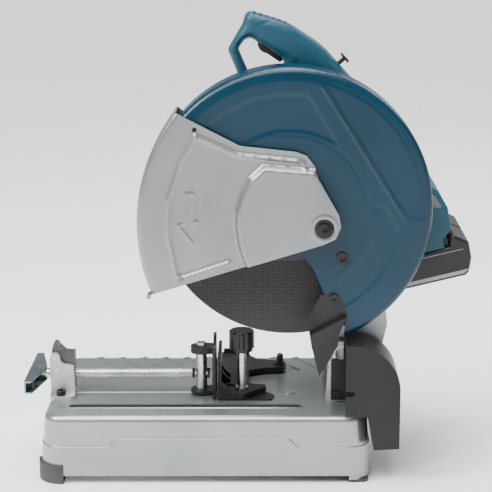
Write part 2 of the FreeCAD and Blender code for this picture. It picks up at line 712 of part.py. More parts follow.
def makeBaseScrew():
    x, y = baseScrewPlace()
    top = size("base_top")
    head = Part.makeCylinder(8, 1.4, FreeCAD.Vector(x, y, top))
    stem = rod(x, y, top - size("base_wall") - 8, (0, 0, 1), size("bolt_diameter") / 2, size("base_wall") + 8)
    group("base_screw", [head.fuse(stem)])


# ---------------------------------------------------------------- spark box

def boxOutline(inset):
    """The box's side, seen along Y, drawn from the wheel's centre."""
    i = inset
    return path((77, -180 - i), (88, -180 - i), (130 - i * 0.7, -197 - i * 0.7, 151 - i, -245),
                (151 - i, -327 - 0.01 * i),
                (116 + i, -329), (107 + i, -281), (77, -281))


def makeSparkBox():
    box = Piece("spark_box", WHEEL)
    box.pad("XZ", boxOutline(0), cell("box_near"), "dims.box_far - dims.box_near")
    inner = path((70, -182), (88, -182), (128.6, -198.4, 149, -245), (149, -340), (117.8, -340),
                 (108.8, -279), (108.8, -290),
                 (70, -290))
    box.cut("XZ", inner, "dims.box_near + dims.box_sheet",
            "dims.box_far - dims.box_near - 2 * dims.box_sheet")
    tab = rectangle(60, -281, 80, -222)
    box.pad("XZ", tab, "dims.box_far - dims.box_sheet", cell("box_sheet"))
    box.cut("XZ", circle(67, -272, 2.5), "dims.box_far - 5", "8")
    box.cut("XZ", slot(70, -248, 86, -248, 7), "dims.box_near - 1", "dims.box_sheet + 2")
    x, y, z = fromWheel(67, size("box_far") - size("box_sheet"), -272)
    group("spark_box_bolts", [bolt(x, y, z, (0, -1, 0), 2.5, 4.9, 5, 4)])


# ---------------------------------------------------------------- wheel and drive

def makeWheel():
    half = "dims.wheel_thickness / 2"
    bore = size("arbor_bore") / 2
    wheel = Piece("cutting_wheel", WHEEL)
    wheel.pad("XZ", circle(0, 0, size("wheel_diameter") / 2) + circle(0, 0, bore), "-" + half,
              cell("wheel_thickness"))
    shaftBore = size("spindle_diameter") / 2
    flange = size("flange_diameter") / 2
    inner = Piece("inner_flange", WHEEL)
    inner.pad("XZ", circle(0, 0, flange) + circle(0, 0, shaftBore), half, cell("flange_thickness"))
    inner.pad("XZ", circle(0, 0, bore) + circle(0, 0, shaftBore), "0", half + " + 1")
    outer = Piece("outer_flange", WHEEL)
    thick = cell("flange_thickness")
    outer.pad("XZ", circle(0, 0, flange) + circle(0, 0, size("wheel_bolt_diameter") / 2),
              "-%s - %s" % (half, thick), thick)
    outer.cut("XZ", circle(0, 0, flange - 9) + circle(0, 0, 17), "-%s - %s" % (half, thick), "1.5")
    head = Piece("wheel_bolt", WHEEL)
    seat = "-%s - %s" % (half, thick)
    head.pad("XZ", hexagon(0, 0, size("wheel_bolt_flats")), seat + " - dims.wheel_bolt_head",
             cell("wheel_bolt_head"))
    head.pad("XZ", circle(0, 0, size("wheel_bolt_diameter") / 2), seat, "dims.flange_thickness + 18")


def makeSpindle():
    spindle = Piece("spindle", WHEEL)
    radius = size("spindle_diameter") / 2
    hole = size("wheel_bolt_diameter") / 2
    spindle.pad("XZ", circle(0, 0, radius) + circle(0, 0, hole), "0", "20")
    spindle.pad("XZ", circle(0, 0, radius), "20", "2.2")
    spindle.pad("XZ", circle(0, 0, 10), "22", "dims.gear_start + dims.gear_width + 1.5 - 22")
    spindle.pad("XZ", circle(0, 0, 8), "dims.gear_start + dims.gear_width + 1.4", "8")
    gear = Piece("ring_gear", WHEEL)
    outline = gearOutline(size("gear_module"), int(size("gear_teeth")), 0, 0, size("motor_angle"))
    gear.pad("XZ", outline + circle(0, 0, 10), cell("gear_start"), cell("gear_width"))


def motorPlace():
    distance = size("gear_module") * (size("gear_teeth") + size("pinion_teeth")) / 2 + 0.15
    return polar(distance, size("motor_angle"))


def makeRotor():
    mx, mz = motorPlace()
    rotor = Piece("rotor", WHEEL)
    teeth = int(size("pinion_teeth"))
    phase = size("motor_angle") + 180 + 180 / teeth
    rotor.pad("XZ", gearOutline(size("gear_module"), teeth, mx, mz, phase), cell("gear_start"),
              cell("gear_width"))
    rotor.pad("XZ", circle(mx, mz, size("motor_shaft_diameter") / 2), "dims.gear_start + dims.gear_width",
              "dims.motor_end - 6 - dims.gear_start - dims.gear_width")
    rotor.pad("XZ", circle(mx, mz, size("stator_inner") - 1), cell("stator_start"), cell("stator_length"))
    fan = Piece("cooling_fan", WHEEL)
    hub = circle(mx, mz, size("motor_shaft_diameter") / 2)
    fan.pad("XZ", circle(mx, mz, 38) + hub, "68", "1.6")
    fan.pad("XZ", circle(mx, mz, 12) + hub, "69", "11")
    for blade in range(11):
        a = 360 / 11 * blade
        edges = rounded([polar(11, a, mx, mz), polar(37, a + 14, mx, mz), polar(37, a + 17, mx, mz),
                         polar(11, a + 10, mx, mz)])
        fan.pad("XZ", edges, "69", "9")


def makeStator():
    mx, mz = motorPlace()
    stator = Piece("stator", WHEEL)
    stator.pad("XZ", circle(mx, mz, size("stator_outer")) + circle(mx, mz, size("stator_inner")),
               cell("stator_start"), cell("stator_length"))
    for k in range(9):
        x, z = polar(size("stator_inner"), 40 * k, mx, mz)
        stator.cut("XZ", circle(x, z, 4.5), "dims.stator_start - 1", "dims.stator_length + 2")


def makeBearings():
    """Four ball bearings, each as its outer form, seated in the gearbox and the motor."""
    mx, mz = motorPlace()
    gap = size("running_gap")
    rear = size("gear_start") + size("gear_width") + 2
    places = [(0, 0, 22.4, 11, 21, 10), (0, 0, rear, 8, 15, 8),
              (mx, mz, rear, 10, 14, size("motor_shaft_diameter") / 2),
              (mx, mz, size("motor_end") - 15, 8, 13, size("motor_shaft_diameter") / 2)]
    rings = []
    for x, z, start, width, outer, inner in places:
        cx, cy, cz = fromWheel(x, start, z)
        ring = rod(cx, cy, cz, (0, 1, 0), outer, width).cut(rod(cx, cy - 1, cz, (0, 1, 0), inner + gap,
                                                                width + 2))
        rings.append(ring)
    group("ball_bearings", rings)


# ---------------------------------------------------------------- head castings

def makeGearCover():
    cover = Piece("gear_cover", WHEEL)
    cx, cz = size("case_x"), size("case_z")
    cover.pad("XZ", circle(cx, cz, size("case_radius")), cell("guard_rear"),
              "dims.case_front - dims.guard_rear")
    cover.cut("XZ", circle(0, 0, 12), "dims.guard_rear - 1", "30")
    cover.cut("XZ", circle(0, 0, 21), "22.4", "20")
    for x, z in guardBoltPlaces():
        cover.cut("XZ", circle(x, z, size("small_bolt") / 2), "dims.guard_rear - 1", "9")


def guardBoltPlaces():
    return [polar(50, angle, size("case_x"), size("case_z")) for angle in (60, 180, 300)]


def makeSwingArm():
    arm = Piece("swing_arm", WHEEL)
    cx, cz = size("case_x"), size("case_z")
    px, pz = size("pivot_x"), size("pivot_z")
    arm.pad("XZ", circle(cx, cz, size("case_radius")), cell("case_front"), "dims.case_rear - dims.case_front")
    outline = rounded([(px - 27, pz), (px - 38, pz + 90, 60), (-38, -20), (60, 30), (118, -40, 40),
                       (px + 64, pz + 40, 34), (px + 52, pz - 14, 20), (px + 16, pz - 24, 8)])
    arm.pad("XZ", outline, cell("arm_front"), "dims.case_rear - dims.arm_front")
    arm.pad("XZ", circle(px, pz, size("pivot_boss_radius")), cell("arm_front"),
            "dims.pivot_boss_end - dims.arm_front")
    arm.cut("XZ", circle(px, pz, size("pivot_shaft_diameter") / 2 + size("running_gap")),
            "dims.arm_front - 1",
            "dims.pivot_boss_end - dims.arm_front + 2")
    arm.cut("XZ", circle(cx, cz, size("case_radius") - size("case_wall")), "dims.case_front - 1",
            "dims.gear_start + dims.gear_width + 2 - dims.case_front + 1")
    mx, mz = motorPlace()
    rear = "dims.gear_start + dims.gear_width + 1"
    arm.cut("XZ", circle(0, 0, 15), rear, "9")
    arm.cut("XZ", circle(mx, mz, 14), rear, "40")
    hollow = rounded([(px - 14, pz + 44, 8), (px - 22, pz + 100, 14), (px - 30, pz + 130, 8),
                      (px + 14, pz + 128, 12),
                      (px + 40, pz + 60, 14), (px + 30, pz + 34, 8)])
    arm.cut("XZ", hollow, "dims.arm_front + 6", "60")
    lockY = size("gear_start") + size("gear_width") / 2
    arm.pad("YZ", circle(lockY, 0, 8), "dims.case_x - dims.case_radius - 12", "dims.case_wall + 11")
    arm.cut("YZ", circle(lockY, 0, 4 + size("running_gap")), "dims.case_x - dims.case_radius - 13", "20")


def makeShaftLock():
    lock = Piece("shaft_lock", WHEEL)
    lockY = size("gear_start") + size("gear_width") / 2
    lock.pad("YZ", circle(lockY, 0, 4), "dims.case_x - dims.case_radius - 20", "19")
    lock.pad("YZ", circle(lockY, 0, 7), "dims.case_x - dims.case_radius - 24", "4")


def makeMotorHousing():
    mx, mz = motorPlace()
    outer = size("motor_radius")
    housing = Piece("motor_housing", WHEEL)
    housing.pad("XZ", circle(mx, mz, outer), cell("case_rear"), "dims.motor_end - dims.case_rear")
    housing.cut("XZ", circle(mx, mz, outer - size("motor_wall")), "dims.case_rear - 1",
                "dims.stator_start - dims.case_rear + 1")
    housing.cut("XZ", circle(mx, mz, size("stator_outer")), "dims.stator_start - 1", "dims.stator_length + 1")
    housing.cut("XZ", circle(mx, mz, size("stator_inner") + 2), "dims.stator_start", "dims.stator_length + 6")
    housing.cut("XZ", circle(mx, mz, 13), "dims.motor_end - 19", "12")
    housing.cut("XZ", circle(mx, mz, 8), "dims.motor_end - 10", "12")
    for k in range(6):
        x, z = polar(36, 60 * k + 30, mx, mz)
        housing.cut("XZ", circle(x, z, 6), "dims.stator_start + dims.stator_length - 1", "40")
    cap = Piece("end_cover", WHEEL)
    cap.pad("XZ", circle(mx, mz, outer), cell("motor_end"), cell("cap_depth"))
    cap.fillet(lambda e: e.BoundBox.YMin > size("motor_end") + size("cap_depth") - 0.01, "8")
    cap.cut("XZ", circle(mx, mz, outer - 4), "dims.motor_end - 1", "dims.cap_depth - 4")
    for row in range(-3, 4):
        reach = math.sqrt(34 ** 2 - (row * 9) ** 2)
        vent = slot(mx - reach, mz + row * 9, mx + reach, mz + row * 9, 4)
        cap.cut("XZ", vent, "dims.motor_end + 4", "dims.cap_depth")


def makeWheelGuard():
    """The main guard: a drum over the wheel's upper and rear part, open at the lower left."""
    guard = Piece("wheel_guard", WHEEL)
    radius = size("guard_radius")
    sheetThick = size("guard_sheet")
    low, high = -64.2, 139
    inward = [(-52, 34), (-58, 0, -44, -38), (16, -56), (33, -79), (48, -114), (78, -143), (74, -171)]
    outer = path(polar(radius, low), polar(radius, (low + high) / 2) + polar(radius, high), *inward)
    guard.pad("XZ", outer, cell("guard_front"), "dims.guard_rear - dims.guard_front")
    front = size("guard_front")
    guard.fillet(lambda e: alongY(e, front) and e.Length > 400, cell("guard_edge_round"))
    inner = radius - sheetThick
    hollow = path(polar(inner, low - 14), polar(inner, (low + high) / 2) + polar(inner, high + 14),
                  (-120, 40),
                  (-80, -60), (0, -80), (20, -190))
    guard.cut("XZ", hollow, "dims.guard_front + dims.guard_sheet",
              "dims.guard_rear - dims.guard_front - 2 * dims.guard_sheet")
    guard.cut("XZ", circle(0, 0, size("guard_nose_bore") / 2), "dims.guard_rear - 3", "6")
    sx, sz = size("safety_x"), size("safety_z")
    guard.pad("XZ", circle(sx + 4, sz, 18), "dims.guard_front - 5", "5.5")
    guard.cut("XZ", circle(sx, sz, 5), "dims.guard_front - 6", "10")
    for x, z in guardBoltPlaces():
        guard.cut("XZ", circle(x, z, size("small_bolt") / 2), "dims.guard_rear - 3", "6")
    for x, z in ((71, -63), (60, -118)):
        guard.cut("XZ", circle(x, z, size("small_bolt") / 2), "dims.guard_front - 1", "4")
    bolts = []
    for x, z in guardBoltPlaces():
        wx, wy, wz = fromWheel(x, size("guard_rear") - sheetThick, z)
        bolts.append(bolt(wx, wy, wz, (0, -1, 0), size("small_bolt") / 2, 8, 5, 4))
    for x, z, lift, head in ((71, -63, 0, 8), (60, -118, 2, 5.5)):
        wx, wy, wz = fromWheel(x, front - lift, z)
        bolts.append(bolt(wx, wy, wz, (0, -1, 0), size("small_bolt") / 2, 5 + lift, head, 5))
    group("guard_bolts", bolts)


def makeSafetyGuard():
    """The swinging guard: a U of sheet round the wheel's front, on its own pivot."""
    place = ("dims.wheel_x + dims.safety_x", cell("wheel_y"), "dims.wheel_z + dims.safety_z")
    guard = Piece("safety_guard", place)
    radius = size("safety_radius")
    sheetThick = size("safety_sheet")
    top, bottom = 142, 202
    side = [(-111, 109), (-103, 108), (-38, 101), (-20, 96, -10, 78), (15, 24), (24, -4, -2, -22)]
    outline = path(polar(radius, bottom), polar(radius, 172) + polar(radius, top), *side)
    guard.pad("XZ", outline, cell("safety_front"), cell("safety_sheet"))
    rim = path(polar(radius, bottom), polar(radius, 172) + polar(radius, top),
               polar(radius - sheetThick, top),
               polar(radius - sheetThick, 172) + polar(radius - sheetThick, bottom))
    guard.pad("XZ", rim, cell("safety_front"),
              "dims.guard_rear + dims.moving_gap + dims.safety_sheet - dims.safety_front")
    lipIn = radius - size("safety_lip")
    lip = path(polar(radius, bottom), polar(radius, 172) + polar(radius, top), polar(lipIn, top),
               polar(lipIn, 172) + polar(lipIn, bottom))
    guard.pad("XZ", lip, "dims.guard_rear + dims.moving_gap", cell("safety_sheet"))
    reach = size("bulge_radius")
    pan = path(polar(reach, 205), polar(reach, 170) + polar(reach, 137), (-12, 74), (15, 24),
               (24, -4, -2, -22))
    guard.pad("XZ", pan, "dims.safety_front - dims.bulge_height", "dims.bulge_height + 0.5")
    inner = path(polar(reach - 4, 204), polar(reach - 4, 170) + polar(reach - 4, 139), (-14, 68), (11, 22),
                 (20, -3, -3, -18))
    guard.cut("XZ", inner, "dims.safety_front - dims.bulge_height + dims.safety_sheet",
              "dims.bulge_height - dims.safety_sheet + 5")
    guard.cut("XZ", circle(0, 0, size("safety_bolt_diameter") / 2 + size("running_gap")),
              "dims.safety_front - dims.bulge_height - 1", "5")
    pivot = Piece("safety_guard_bolt", place)
    shoulder = size("safety_bolt_diameter") / 2
    face = "dims.safety_front - dims.bulge_height - 0.3"
    pivot.pad("XZ", circle(0, 0, shoulder), face, "dims.guard_front - 5 - (%s)" % face)
    pivot.pad("XZ", circle(0, 0, 5), "dims.guard_front - 5", "7")
    pivot.pad("XZ", circle(0, 0, 13), "(%s) - 1.5" % face, "1.5")
    pivot.pad("XZ", circle(0, 0, 7.5), "(%s) - 6" % face, "4.6")
    pivot.cut("XZ", hexagon(0, 0, 7), "(%s) - 7" % face, "4")


def makeSparkFlap():
    """The folded flap on the guard's rear edge that steers sparks into the box."""
    flap = Piece("spark_flap", WHEEL)
    upper = path((43, -114), (50, -113), (58, -109), (66, -113), (79, -143), (77, -150), (28, -170),
                 (25, -149))
    flap.pad("XZ", upper, "dims.guard_front - 2", "2")
    band = path((77, -142), (68, -165), (31, -187), (28, -168))
    flap.pad("XZ", band, "dims.guard_front - 14", "14")
    lower = path((68, -163), (66, -182), (51, -209), (41, -225), (31, -185))
    flap.pad("XZ", lower, "dims.guard_front - 14", "2")
    flap.cut("XZ", circle(60, -118, size("small_bolt") / 2), "dims.guard_front - 3", "4")


# ---------------------------------------------------------------- handle

def handleOutline():
    return rounded([(-46, 110, 6), (-66, 167, 12), (-82, 205, 8), (-60, 241, 14), (-54, 260, 8),
                    (-4, 242, 90),
                    (44, 212, 90), (87, 164, 60), (128, 96, 20), (118, 68, 8), (42, 64, 6)])


def handleHole():
    return rounded([(-46, 152, 5), (-68, 207, 7), (-53, 225, 9), (-7, 192, 6), (-6, 160, 6), (-14, 152, 4)])


def makeHandle():
    """Two moulded halves that meet on the handle's middle plane."""
    middle = "dims.grip_front + dims.grip_width / 2"
    half = "dims.grip_width / 2"
    cavity = rounded([(-46, 244, 4), (-8, 233, 60), (34, 210, 60), (76, 164, 30), (116, 92, 8),
                      (100, 74, 5), (48, 72, 5),
                      (30, 140, 10), (4, 192, 5), (-44, 229, 4)])
    front = size("grip_front")
    rear = front + size("grip_width")
    for label, start, pocket, face in (("handle_near_half", cell("grip_front"), "dims.grip_front + 3", front),
                                       ("handle_far_half", middle, middle, rear)):
        shell = Piece(label, WHEEL)
        shell.pad("XZ", handleOutline() + handleHole(), start, half)
        shell.fillet(lambda e: alongY(e, face), cell("grip_round"))
        shell.cut("XZ", cavity, pocket, "dims.grip_width / 2 - 3")
        shell.cut("XZ", triggerSlot(), "dims.grip_front + dims.grip_width / 2 - 8", "16")
        for x, z in screwPlaces():
            shell.pad("XZ", circle(x, z, 4), pocket, "dims.grip_width / 2 - 3")
            shell.cut("XZ", circle(x, z, 1.6), "dims.grip_front - 1", "dims.grip_width - 4")
            if label == "handle_near_half":
                shell.cut("XZ", circle(x, z, 2.8), "dims.grip_front - 1", "2")
        if label == "handle_far_half":
            shell.cut("XZ", circle(12, 212, 5 + size("running_gap")), middle, "40")
    screws = []
    for x, z in screwPlaces():
        wx, wy, wz = fromWheel(x, front + 1, z)
        screws.append(bolt(wx, wy, wz, (0, -1, 0), 1.6, size("grip_width") - 6, 2.8, 0.9))
    group("handle_screws", screws)


def screwPlaces():
    return [(-52, 248), (66, 178), (104, 100), (-67.5, 188), (52, 72)]


def triggerSlot():
    return rounded([(-48, 214), (-6, 184), (2, 202), (-36, 232)])


def makeControls():
    """The switch, its trigger and the lock-off button."""
    middle = size("grip_front") + size("grip_width") / 2
    trigger = Piece("trigger", WHEEL)
    blade = path((-42, 214), (-38, 205, -30, 201), (-12, 189), (-7, 193), (-12, 207), (-32, 221))
    trigger.pad("XZ", blade, str(middle - 6.5), "13")
    switch = Piece("switch_unit", WHEEL)
    switch.pad("XZ", rounded([(-4, 212), (22, 194), (32, 174), (25, 168), (12, 191), (-5, 205)]),
               str(middle - 11), "22")
    button = Piece("lock_off_button", WHEEL)
    button.pad("XZ", circle(12, 212, 5), str(middle + 12), "dims.grip_width / 2 - 12 + 4")
    hook = Piece("chain_hook", ("dims.wheel_x + 70", "dims.wheel_y + %s" % middle, "dims.wheel_z + 190"),
                 "-48")
    hook.pad("XY", circle(0, 0, 3), "-4.4", "10.4")
    hook.pad("XY", rectangle(-7, -9, 7, 9, 3), "5", "3")


# ---------------------------------------------------------------- batteries

def packOrigin(y):
    return ("dims.wheel_x + dims.pack_x", "dims.wheel_y + %s" % y, "dims.wheel_z + dims.pack_z")


def packPlaces():
    near = size("near_pack_y")
    return [("near", near), ("far", near + size("pack_pitch"))]


def makePacks():
    """Two slide-in battery packs, each with its release button."""
    for name, y in packPlaces():
        pack = Piece("battery_" + name, packOrigin(y), cell("pack_tilt"))
        inner = -size("pack_inner")
        end = size("pack_length") + inner
        high = size("pack_case_height")
        side = rounded([(inner, 0, 6), (end - 9, 0, 10), (end, 22, 12), (end + 1, high + 1, 5),
                        (end - 17, high + 15, 4), (end - 24, high + 13, 2), (end - 26.5, high), (inner, high, 4)])
        pack.pad("XZ", side, "-dims.pack_width / 2", cell("pack_width"))
        edges = size("pack_width") / 2
        pack.fillet(lambda e: alongY(e, edges) or alongY(e, -edges), "4")
        rail = rectangle(inner + 5, high - 1, end - 26, high + size("pack_rail_height"))
        pack.pad("XZ", rail, "-dims.pack_rail_width / 2", cell("pack_rail_width"))
        pack.cut("YZ", rectangle(-19, 18, 19, high - 4, 3), str(end - 8), "20")
        button = Piece("battery_%s_button" % name, packOrigin(y), cell("pack_tilt"))
        button.pad("YZ", rectangle(-18, 24, 18, high - 5, 3), str(end - 4.6), "5")


def onPack(x, z):
    """A point given along and across a pack, turned into the wheel's frame."""
    tilt = math.radians(size("pack_tilt"))
    return (size("pack_x") + x * math.cos(tilt) - z * math.sin(tilt),
            size("pack_z") + x * math.sin(tilt) + z * math.cos(tilt))


def bayOutline(left, wall):
    """The housing's side, or its hollow when a wall is given, from a left edge to the seam on the packs."""
    seam = size("pack_case_height") + 0.6
    low = seam + (22 if wall else 0)
    w = wall
    corners = [(left, 52 - w, 4), (150, 50 - w, 8), (203 - w, 16 - w, 6), (217 - 1.5 * w, -8 - w * 0.5, 5),
               (223 - 2 * w, -38 + w, 4)]
    if not wall:
        corners += [(213, -51, 3), onPack(-25, seam)]
    drop = onPack(-100 if wall else -112, low)
    return rounded(corners + [onPack(-28, low), drop, (left, min(drop[1], -60 + 4 * w))])


def makeBatteryHousing():
    """The housing over the two packs, with a saddle for the motor and rails for the packs."""
    housing = Piece("battery_housing", WHEEL)
    mx, mz = motorPlace()
    clear = mx + size("motor_radius")
    wall = size("bay_wall")
    seam = size("pack_case_height") + 0.6
    housing.pad("XZ", bayOutline(128, 0), cell("bay_front"),
                "dims.case_rear + dims.moving_gap - dims.bay_front")
    housing.pad("XZ", bayOutline(clear - 14, 0), "dims.case_rear + dims.moving_gap",
                "dims.bay_front + dims.bay_width - dims.case_rear - dims.moving_gap")
    housing.cut("XZ", circle(mx, mz, size("motor_radius") + 0.2), "dims.case_rear", "dims.bay_width")
    front = size("bay_front")
    rear = front + size("bay_width")
    housing.fillet(lambda e: (alongY(e, front) or alongY(e, rear)) and e.CenterOfMass.x > 160
                   and e.CenterOfMass.z > -50, "5")
    housing.cut("XZ", bayOutline(128 + wall, wall), "dims.bay_front + dims.bay_wall",
                "dims.bay_width - 2 * dims.bay_wall")
    rails = rounded([onPack(-107, seam - 2), onPack(10, seam - 2), onPack(10, seam + 15),
                     onPack(-107, seam + 15)])
    contacts = rounded([onPack(-100, seam + 14), onPack(-80, seam + 14), onPack(-80, seam + 20),
                        onPack(-100, seam + 20)])
    blocks = []
    for name, y in packPlaces():
        housing.cut("XZ", rails, "%s - dims.pack_rail_width / 2 - 1" % y, "dims.pack_rail_width + 2")
        housing.cut("XZ", contacts, "%s - 15" % y, "30")
        shape = Part.makeBox(20, 30, 4.8, FreeCAD.Vector(-100, -15, seam + 15.2))
        shape.rotate(FreeCAD.Vector(), FreeCAD.Vector(0, 1, 0), -size("pack_tilt"))
        shape.translate(FreeCAD.Vector(*fromWheel(size("pack_x"), y, size("pack_z"))))
        blocks.append(shape)
    group("terminal_blocks", blocks)
    panel = Piece("indicator_panel", WHEEL)
    window = rounded([(186, 14, 2), (198, 10, 2), (209, -7, 2), (186, -6, 2)])
    panel.pad("XZ", window, "dims.bay_front - 0.8", "0.8")


# ---------------------------------------------------------------- assembly

def makeEverything():
    shell = makeBaseShell()
    makeRearLegs(shell)
    makeBoltLips(shell)
    makeBaseOpenings(shell)
    makeFeet()
    makeBracket()
    makePivotShaft()
    makeLiftSpring()
    makeHolder()
    makeNutLever()
    makeScrew()
    makeViseHandle()
    makeVisePin()
    makeVisePlate()
    makeViseNuts()
    makeAngleScale()
    makeGuidePlate()
    makeGuidePost()
    makeClamp()
    makeBaseScrew()
    makeSparkBox()
    makeWheel()
    makeSpindle()
    makeRotor()
    makeStator()
    makeBearings()
    makeGearCover()
    makeSwingArm()
    makeShaftLock()
    makeMotorHousing()
    makeWheelGuard()
    makeSafetyGuard()
    makeSparkFlap()
    makeHandle()
    makeControls()
    makePacks()
    makeBatteryHousing()


def checkAndWrite():
    doc.recompute()
    for item in doc.Objects:
        if "Invalid" in item.State or "Error" in item.State:
            raise RuntimeError("failed: %s %s" % (item.Label, item.State))
    for label, item in subparts.items():
        shape = item.Shape
        if shape.isNull() or not shape.isValid() or not shape.Solids:
            raise RuntimeError("bad shape: " + label)
    os.makedirs("parts", exist_ok=True)
    for label, item in subparts.items():
        item.Shape.exportStep("parts/%s.step" % label)
    print("%d sub-parts written" % len(subparts))


makeEverything()
checkAndWrite()
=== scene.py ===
import bmesh
import bpy
import json
import math
import numpy as np
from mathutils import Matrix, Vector, geometry


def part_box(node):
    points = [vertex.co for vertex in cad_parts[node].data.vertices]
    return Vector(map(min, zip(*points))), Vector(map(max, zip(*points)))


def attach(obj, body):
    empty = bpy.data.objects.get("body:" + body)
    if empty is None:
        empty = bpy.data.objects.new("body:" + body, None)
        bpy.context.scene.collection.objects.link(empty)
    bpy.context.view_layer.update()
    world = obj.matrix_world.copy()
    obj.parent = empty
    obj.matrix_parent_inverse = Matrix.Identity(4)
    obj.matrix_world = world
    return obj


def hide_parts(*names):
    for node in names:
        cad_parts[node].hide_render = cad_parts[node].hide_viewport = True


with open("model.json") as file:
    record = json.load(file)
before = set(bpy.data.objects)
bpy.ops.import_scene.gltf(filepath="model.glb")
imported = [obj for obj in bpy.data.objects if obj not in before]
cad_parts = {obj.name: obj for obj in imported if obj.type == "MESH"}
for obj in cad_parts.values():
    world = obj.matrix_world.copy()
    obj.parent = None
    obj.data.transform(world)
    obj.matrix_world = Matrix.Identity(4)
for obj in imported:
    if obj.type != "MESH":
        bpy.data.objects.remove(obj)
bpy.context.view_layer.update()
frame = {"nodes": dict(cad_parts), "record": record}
print("frame loaded:", len(frame["nodes"]), "nodes")

# pieces on the head are drawn in millimetres from the wheel's centre: x back, y away, z up
wheelLow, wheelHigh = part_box("cutting_wheel")
wheelCentre = (wheelLow + wheelHigh) / 2
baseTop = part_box("base_shell")[1].z


def onHead(x, y, z):
    return wheelCentre + Vector((x, y, z)) / 1000


def onBase(x, y, z):
    return Vector((x / 1000, y / 1000, baseTop + z / 1000))


# camera and light

cameraLook = {"place": (0.0833, -1.9872, 0.8116), "downTilt": 14.36, "lens": 106.1, "sideShift": -0.0407}


def makeCamera():
    data = bpy.data.cameras.new("viewCamera")
    data.lens = cameraLook["lens"]
    data.sensor_width = 36
    data.shift_x = cameraLook["sideShift"]
    camera = bpy.data.objects.new("viewCamera", data)
    camera.location = cameraLook["place"]
    camera.rotation_euler = (math.radians(90 - cameraLook["downTilt"]), 0, 0)
    bpy.context.collection.objects.link(camera)
    bpy.context.scene.camera = camera


lightLook = {
    "world": 0.34,
    "sun": {"turn": (28, 0, -32), "power": 4.6, "spread": 50},
    "panels": [  # name, place, aim, size, power
        ("keyPanel", (-1.7, -0.9, 1.9), (0.0, -0.1, 0.35), 0.7, 60),
        ("fillPanel", (1.9, -1.6, 0.9), (0.1, 0, 0.3), 1.0, 5),
        ("topPanel", (0.2, 0.3, 2.2), (0.05, 0, 0.2), 1.0, 40),
        ("backPanel", (1.3, 1.8, 1.6), (0.1, 0, 0.3), 1.0, 10),
    ],
}


def makeLights():
    world = bpy.data.worlds.new("studio")
    bpy.context.scene.world = world
    world.use_nodes = True
    backdrop = world.node_tree.nodes["Background"]
    backdrop.inputs["Color"].default_value = (0.95, 0.96, 0.97, 1)
    backdrop.inputs["Strength"].default_value = lightLook["world"]
    sun = bpy.data.lights.new("softSun", "SUN")
    sun.energy = lightLook["sun"]["power"]
    sun.angle = math.radians(lightLook["sun"]["spread"])
    overhead = bpy.data.objects.new("softSun", sun)
    overhead.rotation_euler = [math.radians(a) for a in lightLook["sun"]["turn"]]
    bpy.context.collection.objects.link(overhead)
    for name, place, aim, span, power in lightLook["panels"]:
        data = bpy.data.lights.new(name, "AREA")
        data.size = span
        data.energy = power
        lamp = bpy.data.objects.new(name, data)
        lamp.location = place
        lamp.rotation_euler = (Vector(aim) - Vector(place)).to_track_quat("-Z", "Y").to_euler()
        bpy.context.collection.objects.link(lamp)


floorLook = {"half": 60.0, "drop": 0.0002, "tones": ((0.9, 0.9, 0.9), (0.92, 0.92, 0.92)), "patch": 1.5,
             "rough": 0.9}


def makeFloor():
    mesh = bpy.data.meshes.new("studioFloor")
    half = floorLook["half"]
    corners = [(-half, -half, 0), (half, -half, 0), (half, half, 0), (-half, half, 0)]
    mesh.from_pydata(corners, [], [(0, 1, 2, 3)])
    floor = bpy.data.objects.new("studioFloor", mesh)
    floor.location.z = -floorLook["drop"]
    bpy.context.collection.objects.link(floor)
    mesh.materials.append(floorPaint())


# materials

def newMaterial(name):
    material = bpy.data.materials.new(name)
    material.use_nodes = True
    tree = material.node_tree
    return material, tree, tree.nodes["Principled BSDF"]


def addNode(tree, kind, **values):
    node = tree.nodes.new(kind)
    for key, value in values.items():
        if key in node.inputs:
            node.inputs[key].default_value = value
        else:
            setattr(node, key, value)
    return node


def objectNoise(tree, scale, detail=3.0):
    coords = addNode(tree, "ShaderNodeTexCoord")
    noise = addNode(tree, "ShaderNodeTexNoise", Scale=scale, Detail=detail)
    tree.links.new(coords.outputs["Object"], noise.inputs["Vector"])
    return noise.outputs["Fac"]


def twoTone(tree, factor, dark, light, low=0.35, high=0.65):
    ramp = addNode(tree, "ShaderNodeValToRGB")
    ramp.color_ramp.elements[0].position = low
    ramp.color_ramp.elements[0].color = (*dark, 1)
    ramp.color_ramp.elements[1].position = high
    ramp.color_ramp.elements[1].color = (*light, 1)
    tree.links.new(factor, ramp.inputs["Fac"])
    return ramp.outputs["Color"]


def spread(tree, factor, low, high):
    rangeNode = addNode(tree, "ShaderNodeMapRange")
    rangeNode.inputs["To Min"].default_value = low
    rangeNode.inputs["To Max"].default_value = high
    tree.links.new(factor, rangeNode.inputs["Value"])
    return rangeNode.outputs["Result"]


def addBump(tree, shader, factor, strength, depth):
    bump = addNode(tree, "ShaderNodeBump", Strength=strength, Distance=depth)
    tree.links.new(factor, bump.inputs["Height"])
    tree.links.new(bump.outputs["Normal"], shader.inputs["Normal"])


